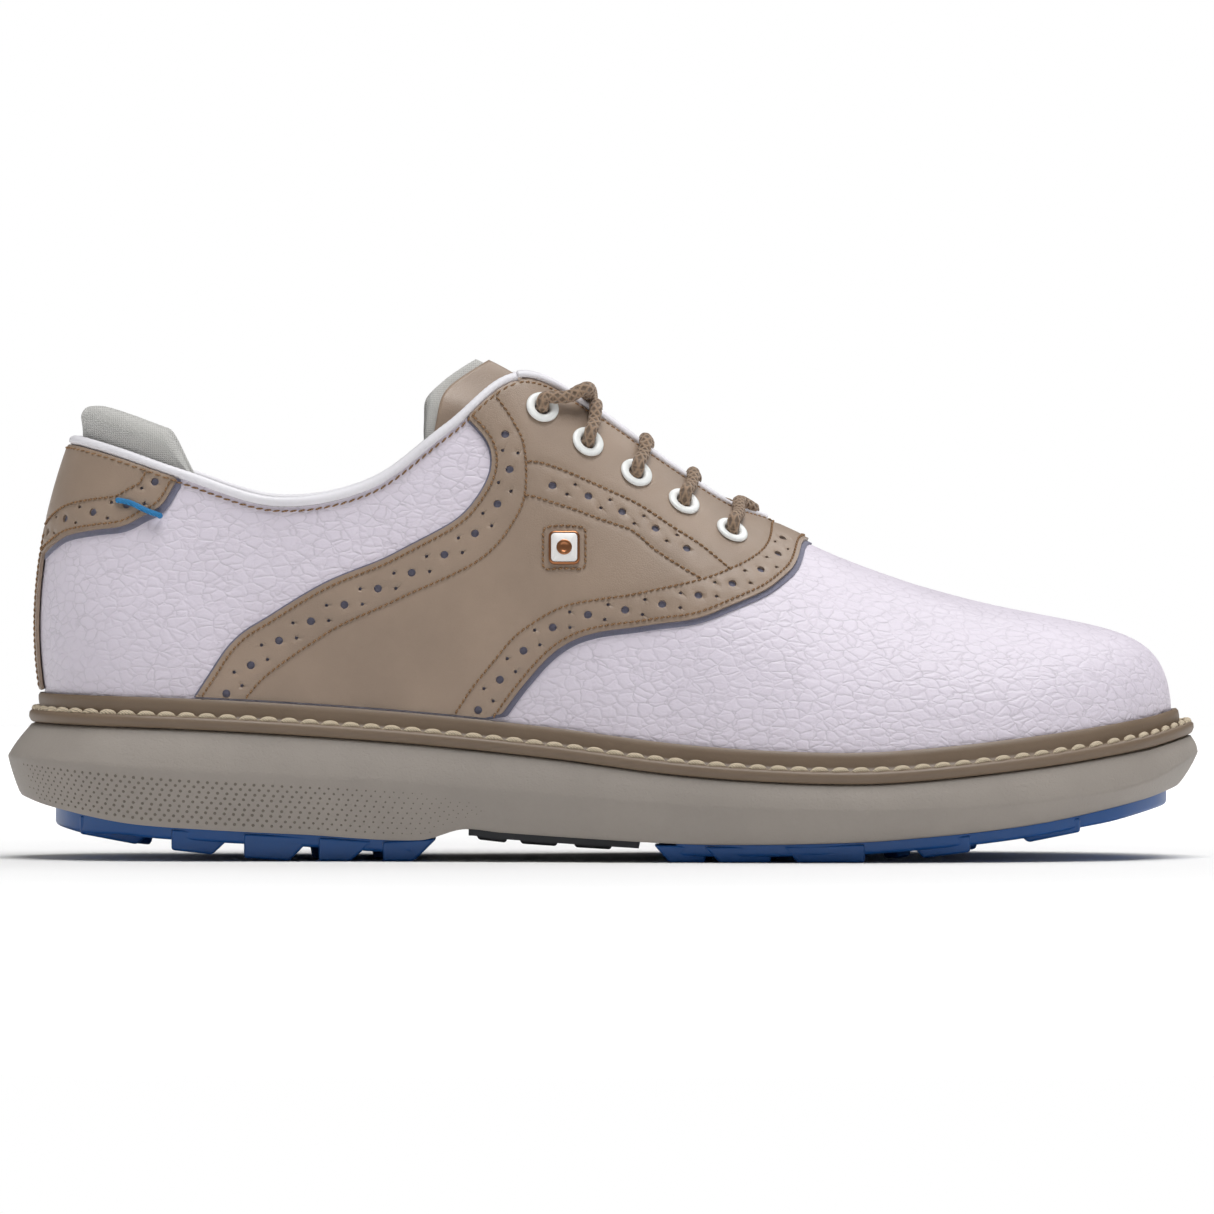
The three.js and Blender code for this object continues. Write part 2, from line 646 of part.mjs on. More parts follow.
// The same line moved towards the heel (or the toe, if negative) by a distance in side view.
const shifted = (points, distance) => points.map(([x, z]) => [x - distance, z + 0.2 * distance]);

// A saddle runs from the rand up to the throat and meets the other one in front of it.
function saddleMap(side, rear, front) {
  const lines = [drawnLine(side, rear), drawnLine(side, front)];
  const map = side === LATERAL ? between(...lines) : between(...lines.reverse());
  return (u, v) => {
    const [round, t] = map(u, v);
    const low = heightOn(round, randTop(soleLine(round).x) + 2 * GAP);
    const high = place(round)[1] < THROAT_END - 0.05 ? 1 : belowTop(round, GAP);
    return [round, THREE.MathUtils.clamp(t, low, high)];
  };
}

for (const [name, side] of SIDES) {
  const holes = drills(side);
  const top = onUpper(saddleMap(side, SADDLE_REAR, SADDLE_FRONT));
  const [underRear, underFront] = [shifted(SADDLE_REAR, UNDERLAY_SHOWS), shifted(SADDLE_FRONT, -UNDERLAY_SHOWS)];
  const under = onUpper(saddleMap(side, underRear, underFront));
  const quarter = onUpper(quarterMap(side));
  add(`quarter_${name}`, drilled(shell(quarter, ...QUARTER_GRID, LAYER.leather), holes), 'white');
  add(`saddle_${name}`, drilled(shell(top, 14, 9, LAYER.overlay), holes), 'tan');
  add(`saddle_underlay_${name}`, drilled(shell(under, 14, 9, LAYER.underlay), holes), 'underlay');
  const lining = shell(quarter, ...QUARTER_GRID, LAYER.lining);
  add(`quarter_lining_${name}`, drilled(lining, holes), 'lining');
}
add('vamp_lining', shell(onUpper(vampMap()), ...VAMP_GRID, LAYER.lining), 'lining');

// A piece that covers a stretch round the shoe, between two heights.
const bandOf = (from, to, bottom, top) => onUpper((u, v) => {
  const round = lerp(from, to, u);
  return [round, lerp(bottom(round), Math.min(top(round), topEdge(round)), v)];
});
const level = (t) => () => t;

// The heel patch: its lower edge rises from the back of the heel to the top line. A strip goes on down.
const HEEL_PATCH_EDGE = [[-144.6, 77], [-141.9, 80.4], [-137.8, 83.3], [-130.8, 84.9], [-123.8, 85.9],
  [-118.6, 88.4], [-113.5, 91.5], [-109.7, 96.5]];
const PATCH_END = 2.86;
const STRIP_END = 0.28;
const patchEdge = drawnLine(LATERAL, HEEL_PATCH_EDGE);
function patchBottom(round) {
  const points = Array.from({ length: 21 }, (_, i) => patchEdge(i / 20));
  return heightAlong(points)(Math.min(Math.abs(round), PATCH_END));
}
const stripBottom = (round) => heightOn(round, randTop(-143) + 2 * GAP);
const belowPatch = (drop) => (round) => patchBottom(round) - drop;
add('heel_patch', shell(bandOf(-PATCH_END, PATCH_END, patchBottom, level(1)), 20, 4, LAYER.overlay), 'tan');
add('heel_patch_underlay', shell(
  bandOf(-PATCH_END - 0.07, PATCH_END + 0.07, belowPatch(0.016), level(1)), 20, 4, LAYER.underlay), 'underlay');
add('heel_strip', shell(bandOf(-STRIP_END, STRIP_END, stripBottom, belowPatch(0.03)), 4, 6, LAYER.overlay), 'tan');

// Hidden stiffeners: the counter cups the heel, the puff holds up the toe, the facings carry the eyelets.
add('heel_counter', shell(bandOf(-4.2, 4.2, level(0.02), level(0.6)), 16, 5, LAYER.stiffener), 'board');
add('toe_puff', shell(bandOf(TOE - 2.6, TOE + 2.6, level(0.02), level(0.6)), 14, 6, LAYER.stiffener), 'board');
for (const [name, side] of SIDES) {
  const ends = side === LATERAL ? [7.5, 10.7] : [ROUND - 10.7, ROUND - 7.5];
  add(`eyelet_facing_${name}`, drilled(
    shell(bandOf(...ends, level(0.8), level(1)), 12, 4, LAYER.stiffener), drills(side)), 'board');
}

// The padded collar: a roll of foam inside the top line, thickest and highest round the heel.
const HEEL_RISE = 10;
const COLLAR_DEPTH = 20;
const COLLAR_END = 5.6;
const rollRise = (distance) => HEEL_RISE * THREE.MathUtils.smoothstep(3.25 - distance, 0, 0.6);
function rollLoop(round) {
  const rise = rollRise(Math.abs(round));
  const fade = THREE.MathUtils.clamp((COLLAR_END - Math.abs(round)) / 2, 0.35, 1);
  const inset = -LINING_BACK + 2.5 * GAP;
  const corner = (depth, height) => {
    const base = upperOffset(round, height < 0 ? belowTop(round, -height) : 1, -inset - depth * fade);
    return base.addScaledVector(UP, Math.max(height, 0));
  };
  return [
    corner(0, -COLLAR_DEPTH), corner(0, -3), corner(-0.28 * rise, rise * 0.6), corner(0.5, rise),
    corner(4.2, rise * 0.75),
    corner(5.2, -4), corner(4.2, -COLLAR_DEPTH * 0.7), corner(1.6, -COLLAR_DEPTH - 2),
  ];
}
const rollPlaces = Array.from({ length: 25 }, (_, i) => lerp(-COLLAR_END, COLLAR_END, i / 24));
add('collar_foam', loft(rollPlaces.map(rollLoop)), 'foam');
function collarCover(u, v, depth) {
  const round = lerp(COLLAR_END, -COLLAR_END, u);
  const route = rollLoop(round).slice(2).reverse();
  const at = (k) => {
    const i = THREE.MathUtils.clamp(Math.floor(k), 0, route.length - 2);
    return route[i].clone().lerp(route[i + 1], k - i);
  };
  const k = v * (route.length - 1);
  const rise = at(Math.min(k + 0.5, route.length - 1)).sub(at(Math.max(k - 0.5, 0)));
  const along = upper(round - 0.05, 1).sub(upper(round + 0.05, 1));
  return at(k).addScaledVector(along.cross(rise).normalize(), depth);
}
add('collar_lining', shell(collarCover, 24, 5, [0.4, 1.3]), 'knit');

// Piping: a thick roll round the collar, and a thin one round the throat.
function alongTop(from, to, steps, raise) {
  return Array.from({ length: steps + 1 }, (_, i) => upperOffset(lerp(from, to, i / steps), 1, raise));
}
const collarPath = alongTop(-THROAT_TOP + 0.1, THROAT_TOP - 0.1, 40, -0.4);
add('collar_piping', cord(collarPath, COLLAR_PIPING, 6), 'piping');
for (const [name, side] of SIDES) {
  const [top, low] = [THROAT_TOP + 0.05, THROAT_END - 0.25];
  const ends = side === LATERAL ? [top, low] : [ROUND - low, ROUND - top];
  add(`throat_piping_${name}`, cord(alongTop(...ends, 12, 0.2), THROAT_PIPING, 6), 'piping');
}

// ---------------------------------------------------------------- tongue

// The middle of the tongue from its sewn base to its free top, [x, z], and where its edges lie on the upper.
const TONGUE_MIDDLE = [[51, 73.5], [38, 81], [20, 91], [0.5, 105.5], [-16.5, 120.5], [-32, 130.2]];
const TONGUE_EDGE = [11.7, 5.9];
// At the free top the edges sweep back along the collar: [x, half width, z] from the edge inwards.
const TONGUE_WING = [[-46, 17.5, 104], [-45.5, 16, 113], [-42, 11.5, 122.5]];
const SWEEP_START = 0.5;
const TONGUE = { face: [-1.2, 0], padding: [-5.4, -1.5], lining: [-6.5, -5.7] };
const tongueMiddle = new THREE.SplineCurve(TONGUE_MIDDLE.map(([x, z]) => new THREE.Vector2(x, z)));

function tongueSurface(u, v) {
  const s = lerp(...TONGUE_EDGE, v);
  const middle = tongueMiddle.getPoint(v);
  const sweep = THREE.MathUtils.smoothstep(v, SWEEP_START, 1);
  const half = (side) => [0.7, 0.8, 0.89].map((t, i) => {
    const [x, width, z] = TONGUE_WING[i];
    return upperOffset(roundOf(side, s), t, TONGUE_DEPTH).lerp(point(x, side * width, z), sweep);
  });
  const across = [...half(LATERAL), point(middle.x, 0, middle.y), ...half(MEDIAL).reverse()];
  return new THREE.CatmullRomCurve3(across).getPoint(u);
}
function tongueAt(u, v, depth) {
  const step = 0.02;
  const [left, right] = [Math.max(u - step, 0), Math.min(u + step, 1)];
  const [low, high] = [Math.max(v - step, 0), Math.min(v + step, 1)];
  const across = tongueSurface(right, v).sub(tongueSurface(left, v));
  const rise = tongueSurface(u, high).sub(tongueSurface(u, low));
  return tongueSurface(u, v).addScaledVector(across.cross(rise).normalize(), depth);
}
const TONGUE_GRID = [12, 12];
add('tongue_face', shell(tongueAt, ...TONGUE_GRID, TONGUE.face), 'tan');
add('tongue_padding', shell(tongueAt, ...TONGUE_GRID, TONGUE.padding), 'foam');
add('tongue_lining', shell(tongueAt, ...TONGUE_GRID, TONGUE.lining), 'lining');

// ---------------------------------------------------------------- eyelets and lace

for (const [name, side] of SIDES) {
  EYELETS.forEach((_, k) => {
    const hole = EYELET_HOLE / 2;
    const barrel = EYELET_BARREL / 2;
    const flange = EYELET_FLANGE / 2;
    const seat = OVERLAY_TOP + 0.15;
    add(`eyelet_${name}_${k + 1}`, onEyelet(eyeletAt(side, k), [
      [hole, LINING_BACK - 0.2], [barrel, LINING_BACK - 0.2], [barrel, seat], [flange, seat],
      [flange - 0.5, seat + FLANGE_THICKNESS], [hole + 0.4, seat + FLANGE_THICKNESS], [hole, LINING_BACK - 0.2],
    ]), 'eyelet');
  });
}

const OVER = OVERLAY_TOP + FLANGE_THICKNESS + LACE_DIAMETER / 2 + 0.5;
const UNDER = LACE_DEPTH;
// Out through an eyelet from underneath, or down through it from outside.
function upThrough(eyelet) {
  const { round, t } = eyelet;
  const halfway = (raise) => upperOffset(round, (t + 1) / 2, raise);
  const edge = (raise, onward) => upperOffset(round, 1, raise).addScaledVector(eyelet.inward, onward);
  return [
    edge(UNDER - 0.5, 1.5), halfway(UNDER - 1), raised(eyelet, UNDER + 0.1, 1.6),
    raised(eyelet, LINING_BACK - 0.6, 0.2), raised(eyelet, -1),
    raised(eyelet, OVERLAY_TOP + FLANGE_THICKNESS + 0.4, 0.1),
    raised(eyelet, OVER, 1.6), halfway(OVER + 0.2), edge(OVER + 1, 0.5),
  ];
}
const downThrough = (eyelet) => [...upThrough(eyelet)].reverse();

// The middle of the throat level with a row of eyelets, or between two rows, at a height above the tongue.
const TONGUE_OUT = point(0.56, 0, 0.83);
function crossing(row, height) {
  const [low, high] = [Math.floor(row), Math.ceil(row)].map((k) => EYELETS[k][0]);
  const x = lerp(low, high, row % 1) + 4;
  const nearer = (a, b) => (Math.abs(a.x - x) < Math.abs(b.x - x) ? a : b);
  const tongue = tongueMiddle.getPoints(80).reduce(nearer);
  return point(tongue.x, 0, tongue.y).addScaledVector(TONGUE_OUT, height);
}

// One half of the lace, from the middle of the bar across the lowest eyelets to its end inside the shoe.
// The strand that crosses underneath has the smaller heights above the tongue.
const LOW_STRAND = LACE_DIAMETER / 2 + 2.5 * GAP;
const HIGH_STRAND = LOW_STRAND + LACE_DIAMETER + 4 * GAP;
function laceHalf(side, height) {
  const here = (k) => eyeletAt(side, k);
  const there = (k) => eyeletAt(-side, k);
  const inside = [[6.7, 0.8], [6.3, 0.64], [5.8, 0.48], [5.2, 0.34]]
    .map(([s, t]) => upperOffset(roundOf(side, s), t, UNDER - 0.5));
  const onFootbed = [4.6, 4, 3.4, 2.8, 2.2].map((s) => {
    const { x, y } = soleLine(roundOf(side, s), BOARD_INSET - 5);
    return point(x, y, footbedTop(x) + LACE_DIAMETER / 2 + 1);
  });
  return [
    ...downThrough(here(4)), crossing(3.5, height), ...upThrough(there(3)),
    crossing(2.5, height), ...upThrough(here(2)),
    crossing(1.5, height), ...upThrough(there(1)),
    crossing(0.5, height), ...downThrough(here(0)).slice(0, -3), raised(here(0), UNDER + 0.4, -0.6),
    ...inside, ...onFootbed,
  ];
}
const lateralHalf = laceHalf(LATERAL, LOW_STRAND);
const medialHalf = laceHalf(MEDIAL, HIGH_STRAND);
const lacePath = [...lateralHalf.reverse(), crossing(3.8, HIGH_STRAND + 2), ...medialHalf];
add('lace', cord(lacePath, LACE_DIAMETER, 8), 'lace');
for (const [name, side] of SIDES) {
  const tip = [2.15, 1.95, 1.7, 1.45].map((s) => {
    const { x, y } = soleLine(roundOf(side, s), BOARD_INSET - 5);
    return point(x, y, footbedTop(x) + LACE_DIAMETER / 2 + 1);
  });
  add(`aglet_${name}`, cord(tip, LACE_DIAMETER - 0.2, 8), 'cream');
}

// ---------------------------------------------------------------- trim

// A plain rounded badge on the lateral saddle, and the bright thread that tacks down the heel patch.
const BADGE = { at: [-9.9, 80.3], width: 8, height: 8.8, thickness: 0.9, corner: 1.4 };
function badge() {
  const [round, t] = locate(LATERAL, ...BADGE.at);
  const out = upperNormal(round, t);
  const across = out.clone().cross(UP).normalize().negate();
  const rise = out.clone().cross(across).normalize();
  const outline = [];
  for (let i = 0; i < 4; i += 1) {
    const [sx, sy] = [[1, 1], [-1, 1], [-1, -1], [1, -1]][i];
    for (const turn of [0, 45, 90]) {
      const angle = THREE.MathUtils.degToRad(turn + 90 * i);
      outline.push([
        sx * (BADGE.width / 2 - BADGE.corner) + BADGE.corner * Math.cos(angle),
        sy * (BADGE.height / 2 - BADGE.corner) + BADGE.corner * Math.sin(angle),
      ]);
    }
  }
  const loopAt = (raise) => outline.map(([x, y]) => upperOffset(round, t, raise)
    .addScaledVector(across, x).addScaledVector(rise, y));
  return loft([loopAt(OVERLAY_TOP + 0.25), loopAt(OVERLAY_TOP + 0.25 + BADGE.thickness)]);
}
add('side_badge', badge(), 'copper');

const TACK = [[-124.2, 92.3], [-121, 91.6], [-117.3, 89.8], [-113.8, 88.5]];
const tackPath = TACK.map(([x, z]) => upperOffset(...locate(LATERAL, x, z), OVERLAY_TOP + 1.3));
add('heel_tack_thread', cord(tackPath, 1.6, 6), 'blue');

export default shoe;
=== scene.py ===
"""The looks of the saddle golf shoe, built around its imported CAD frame.

The upper is one smooth surface, given by the ribs that the CAD model uses too. Leather pieces are cut
from it along lines drawn in side view (x, z), in millimetres, and every mesh is made in metres.
"""
import math

import bmesh
import bpy
import numpy as np
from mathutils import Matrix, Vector, geometry
from mathutils.kdtree import KDTree


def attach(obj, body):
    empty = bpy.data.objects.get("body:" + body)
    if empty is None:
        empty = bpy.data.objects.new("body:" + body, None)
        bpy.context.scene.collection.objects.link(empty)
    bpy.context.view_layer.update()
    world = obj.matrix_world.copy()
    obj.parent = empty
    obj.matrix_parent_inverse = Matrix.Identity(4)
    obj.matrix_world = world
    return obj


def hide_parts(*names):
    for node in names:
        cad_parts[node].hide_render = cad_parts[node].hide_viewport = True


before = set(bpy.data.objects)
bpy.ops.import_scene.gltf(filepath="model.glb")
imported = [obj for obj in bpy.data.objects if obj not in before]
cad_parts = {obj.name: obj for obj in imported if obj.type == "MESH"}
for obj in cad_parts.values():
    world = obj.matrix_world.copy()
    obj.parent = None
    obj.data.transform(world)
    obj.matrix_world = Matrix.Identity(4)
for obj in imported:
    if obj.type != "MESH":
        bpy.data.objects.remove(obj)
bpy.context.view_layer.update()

MM = 0.001
LATERAL, MEDIAL = -1, 1
SIDES = (("lateral", LATERAL), ("medial", MEDIAL))
UP = np.array([0.0, 0.0, 1.0])

# ------------------------------------------------------------------ curves


def bend_between(a, b, c, d, k):
    """A point at share k from b to c on the smooth curve through a, b, c and d."""
    return b + 0.5 * k * (c - a + k * (2 * a - 5 * b + 4 * c - d + k * (3 * (b - c) + d - a)))


def lengths_along(points):
    return np.concatenate([[0], np.cumsum(np.linalg.norm(np.diff(points, axis=0), axis=1))])


def values_at(at, lengths, values):
    """The columns of values, known at some lengths, read off at others."""
    return np.stack([np.interp(at, lengths, column) for column in values.T], 1)


# ------------------------------------------------------------------ heights along the shoe, as in the CAD


def height_along(points):
    """A smooth height z(x) through a few points (x, z) from heel to toe."""
    xs, zs = np.array(points, float).T
    ends = np.arange(len(xs))
    before, after = np.maximum(ends - 1, 0), np.minimum(ends + 1, len(xs) - 1)
    slopes = (zs[after] - zs[before]) / (xs[after] - xs[before])

    def height(x):
        x = np.asarray(x, float)
        i = np.clip(np.searchsorted(xs, x, side="right") - 1, 0, len(xs) - 2)
        span = xs[i + 1] - xs[i]
        k = (x - xs[i]) / span
        bend = (1 - k) ** 2 * k * slopes[i] - (1 - k) * k * k * slopes[i + 1]
        z = zs[i] + (zs[i + 1] - zs[i]) * k * k * (3 - 2 * k) + span * bend
        return np.where(x <= xs[0], zs[0] + slopes[0] * (x - xs[0]), z)

    return height


midsole_top = height_along([(-148, 35), (-100, 33.4), (-52, 30.3), (-13, 26.4), (20, 22.2), (51, 20.2),
                            (75, 20.3), (110, 23.8), (139, 28.4), (152, 31.8)])
midsole_widest = height_along([(-154, 26.4), (-103, 22.8), (-52, 20.2), (-26, 18.1), (13, 15), (51, 13.4),
                               (82, 13.4), (110, 15.3), (139, 19.7), (154, 27.2)])
midsole_bottom = height_along([(-151, 16.6), (-143, 14), (-123, 9.9), (-103, 8.3), (-77, 7), (-47, 5.6),
                               (-36, 8.4), (-26, 7.6), (0, 5.9), (23, 4.8), (51, 4.9), (75, 5.9), (110, 9.6),
                               (139, 15.6), (149, 18.9)])
FOOTBED_RISE = 9.4

# ------------------------------------------------------------------ the surface of the upper, as in the CAD

# Foot x, lateral y, medial y; top x, y, z; foot handle out, up; top handle out, down.
RIBS = np.array([
    (-142.5, 0, 0, -136.5, 0, 107.8, 6.5, 24, 8.5, 23),
    (-138, 16.5, 16.5, -133, 12, 107.4, 6, 23, 7, 22),
    (-126, 28.5, 28.5, -123.5, 20.5, 104.6, 4.5, 21, 5, 21),
    (-108, 33.3, 33, -108, 25.5, 99.3, 3, 20, 3.5, 20),
    (-84, 35, 32, -84, 28.5, 92.4, 2, 20, 2.5, 18),
    (-58, 36, 30.5, -60, 29.5, 96.8, 1.5, 22, 3, 20),
    (-34, 38.5, 31.5, -40, 27.5, 111.4, 1, 28, 6, 24),
    (-12, 42, 35, -22, 20.5, 124.3, 0.5, 33, 13, 20),
    (12, 46, 41.5, -3, 15.5, 114.8, 1, 33, 17, 17),
    (34, 49, 47, 14, 12.5, 102.2, 1.5, 30, 20, 13),
    (56, 50.3, 50.1, 31, 9, 90.8, 2, 27, 23, 10),
    (78, 48.5, 50, 42, 0, 86.4, 2, 25, 30, 8),
    (100, 44.5, 47.5, 60, 0, 78.2, 2, 25, 31, 8),
    (120, 37, 40.5, 77, 0, 71.9, 2, 26, 33, 8),
    (137, 24.5, 27, 88, 0, 68.6, 2, 29, 37, 9),
    (147, 0, 0, 95, 0, 66.6, 1.5, 31, 40, 9),
], float)
TOE = len(RIBS) - 1
ROUND = 2 * TOE
THROAT_TOP, THROAT_END = 7, 11


def rib_on(side, row):
    """One rib on one side: foot x, y; top x, y, z; the four handle lengths."""
    return [row[0], side * row[1 if side == LATERAL else 2], row[3], side * row[4], *row[5:]]


AROUND = np.array([rib_on(LATERAL, row) for row in RIBS] + [rib_on(MEDIAL, row) for row in RIBS[-2:0:-1]])


def rows_at(r):
    """The ribs at places r: 0 at the heel, up to TOE on the lateral side, on to ROUND on the medial side."""
    r = np.asarray(r, float) % ROUND
    i = np.floor(r).astype(int)
    k = (r - i)[..., None]
    a, b, c, d = (AROUND[(i + step) % ROUND] for step in (-1, 0, 1, 2))
    row = bend_between(a, b, c, d, k)
    ridge = np.minimum(r, ROUND - r) >= THROAT_END
    row[..., 3] = np.where(ridge, 0, row[..., 3])
    return row


def along_side(r):
    """How far along its side a place is, from 0 at the heel to TOE."""
    r = np.asarray(r, float) % ROUND
    return np.minimum(r, ROUND - r)


def round_of(side, s):
    return s if side == LATERAL else ROUND - s


def sole_line(r, grow=0.0):
    """Points of the sole line in plan, moved outwards by grow."""
    step = 0.02
    ahead = rows_at(np.asarray(r) + step)[..., :2] - rows_at(np.asarray(r) - step)[..., :2]
    out = np.stack([ahead[..., 1], -ahead[..., 0]], -1)
    out /= np.linalg.norm(out, axis=-1, keepdims=True)
    return rows_at(r)[..., :2] + out * np.asarray(grow)[..., None], out


def leather_face(r, t):
    """The outer face of the white leather at places r and heights t from 0, the sole, to 1, the top line."""
    row = rows_at(r)
    _, out = sole_line(r)
    foot = np.stack([row[..., 0], row[..., 1], midsole_top(row[..., 0]) + 0.3], -1)
    top = row[..., 2:5]
    lean = (foot - top) * (1, 1, 0)
    lean /= np.linalg.norm(lean, axis=-1, keepdims=True)
    foot_handle = foot + np.stack([out[..., 0] * row[..., 5], out[..., 1] * row[..., 5], row[..., 6]], -1)
    top_handle = top + lean * row[..., 7:8] - UP * row[..., 8:9]
    t = np.asarray(t, float)[..., None]
    return ((1 - t) ** 3 * foot + 3 * (1 - t) ** 2 * t * foot_handle
            + 3 * (1 - t) * t * t * top_handle + t ** 3 * top)


def upper_normal(r, t):
    r, t = np.broadcast_arrays(np.asarray(r, float), np.asarray(t, float))
    step = 0.03
    level = np.where(along_side(r) > THROAT_END, np.minimum(t, 0.93), t)
    along = leather_face(r + step, level) - leather_face(r - step, level)
    rise = leather_face(r, np.minimum(level + step, 1)) - leather_face(r, np.maximum(level - step, 0))
    normal = np.cross(along, rise)
    return normal / np.linalg.norm(normal, axis=-1, keepdims=True)


def upper(r, t, raised=0.0):
    return leather_face(r, t) + upper_normal(r, t) * np.asarray(raised, float)[..., None]


def below_top(r, distance):
    row = rows_at(r)
    return 1 - distance / (3 * np.hypot(row[..., 7], row[..., 8]))


def height_on(r, z):
    """The height t at which the ribs at r reach the height z."""
    r = np.asarray(r, float)
    low, high = np.zeros_like(r), np.ones_like(r)
    for _ in range(20):
        middle = (low + high) / 2
        under = leather_face(r, middle)[..., 2] < z
        low, high = np.where(under, middle, low), np.where(under, high, middle)
    return low


def above_sole(r, rise):
    """The height t that lies a rise above the top of the midsole, at places r."""
    return height_on(r, midsole_top(rows_at(r)[..., 0]) + rise)


GRID_S, GRID_T = np.meshgrid(np.linspace(0, TOE, 16 * TOE + 1), np.linspace(0, 1, 81), indexing="ij")
GRIDS = {side: leather_face(round_of(side, GRID_S), GRID_T) for _, side in SIDES}


def locate(side, x, z):
    """The place (r, t) on one side that is seen at (x, z) in side view."""
    grid = GRIDS[side]
    i, j = np.unravel_index(np.argmin(np.hypot(grid[..., 0] - x, grid[..., 2] - z)), grid.shape[:2])
    s, t = GRID_S[i, j], GRID_T[i, j]
    span_s, span_t = 1 / 16, 1 / 80
    for _ in range(7):
        near_s, near_t = np.meshgrid(np.clip(s + span_s * np.linspace(-1, 1, 5), 0, TOE),
                                     np.clip(t + span_t * np.linspace(-1, 1, 5), 0, 1), indexing="ij")
        found = leather_face(round_of(side, near_s), near_t)
        best = np.argmin(np.hypot(found[..., 0] - x, found[..., 2] - z))
        s, t = near_s.flat[best], near_t.flat[best]
        span_s, span_t = span_s / 2, span_t / 2
    return np.array([round_of(side, s), t])


def smoothstep(value, low, high):
    k = np.clip((value - low) / (high - low), 0, 1)
    return k * k * (3 - 2 * k)


# ------------------------------------------------------------------ lines

# Roughly how many millimetres one rib step and the whole height are, to measure distances on the surface.
CELL = np.array([20.0, 75.0])


def spline(points, step):
    """A smooth open line through points, with a point every step."""
    p = np.array(points, float)
    p = np.vstack([2 * p[0] - p[1], p, 2 * p[-1] - p[-2]])
    fine = []
    for a, b, c, d in zip(p, p[1:], p[2:], p[3:]):
        k = np.linspace(0, 1, 24, endpoint=False)[:, None]
        fine.append(bend_between(a, b, c, d, k))
    return evenly(np.vstack([*fine, p[-2:-1]]), step)


def evenly(points, step):
    lengths = lengths_along(points)
    count = max(int(round(lengths[-1] / step)), 2)
    return values_at(np.linspace(0, lengths[-1], count + 1), lengths, points)


def drawn(side, points, step=1.0):
    """A line on the upper through points (x, z) of the side view, as places (r, t)."""
    places = np.array([locate(side, x, z) for x, z in points]) * CELL
    return spline(places, step) / CELL


# ------------------------------------------------------------------ meshes

SHARP = math.radians(50)
GROOVE_DEPTH, GROOVE_WIDTH = 0.32, 0.8


def mesh_object(name, corners, faces, body="shoe"):
    """A mesh from corners in millimetres, riding on a body."""
    mesh = bpy.data.meshes.new(name)
    mesh.from_pydata((np.asarray(corners, float) * MM).tolist(), [], [list(map(int, f)) for f in faces])
    mesh.validate()
    mesh.update()
    mesh.shade_smooth()
    piece = bpy.data.objects.new(name, mesh)
    bpy.context.scene.collection.objects.link(piece)
    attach(piece, body)
    return piece


def finish_piece(piece, material, slot, *nodes):
    piece.data.materials.clear()
    piece.data.materials.append(material)
    if nodes:
        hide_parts(*nodes)
    return piece


def inside(points, outline):
    """Which points lie inside a closed outline."""
    x, y = points[:, 0, None], points[:, 1, None]
    a, b = outline, np.roll(outline, -1, axis=0)
    crosses = (a[:, 1] > y) != (b[:, 1] > y)
    rise = np.where(b[:, 1] == a[:, 1], 1e-12, b[:, 1] - a[:, 1])
    return (crosses & (x < a[:, 0] + (y - a[:, 1]) * (b[:, 0] - a[:, 0]) / rise)).sum(1) % 2 == 1


def tree_of(points):
    tree = KDTree(len(points))
    for i, p in enumerate(points):
        tree.insert(Vector(p), i)
    tree.balance()
    return tree


def distances(tree, points):
    return np.array([tree.find(Vector(p))[2] for p in points])


def circle_on_upper(place, radius, count=14):
    """A small circle round a place (r, t) on the upper, as places."""
    per_r, per_t = slopes_at(place)
    across = per_r / np.linalg.norm(per_r)
    rise = np.cross(np.cross(per_r, per_t), across)
    rise /= np.linalg.norm(rise)
    turn = np.linspace(0, 2 * np.pi, count, endpoint=False)
    offsets = radius * (np.cos(turn) * across[:, None] + np.sin(turn) * rise[:, None])
    moves, *_ = np.linalg.lstsq(np.stack([per_r, per_t], 1), offsets, rcond=None)
    return np.array(place) + moves.T


def slopes_at(place):
    """How the leather's face moves, in millimetres, for each unit of r and of t."""
    step = 0.01
    r, t = place
    per_r = (leather_face(r + step, t) - leather_face(r - step, t)) / (2 * step)
    per_t = (leather_face(r, t + step) - leather_face(r, t - step)) / (2 * step)
    return per_r, per_t


def overlay(name, outline, holes, grooves):
    """A tan piece sewn on top of the upper."""
    return panel(name, outline, SADDLE_TOP, 0.45, spacing=1.15, edge=0.55, holes=holes, grooves=grooves)


def underlay(name, outline, holes=()):
    """The thin cloth that peeps out from under an overlay."""
    piece = panel(name, outline, UNDERLAY_TOP, 0.03, spacing=2.0, edge=0.3, holes=holes)
    finish_piece(piece, UNDERLAY, "underlay_fabric", name)


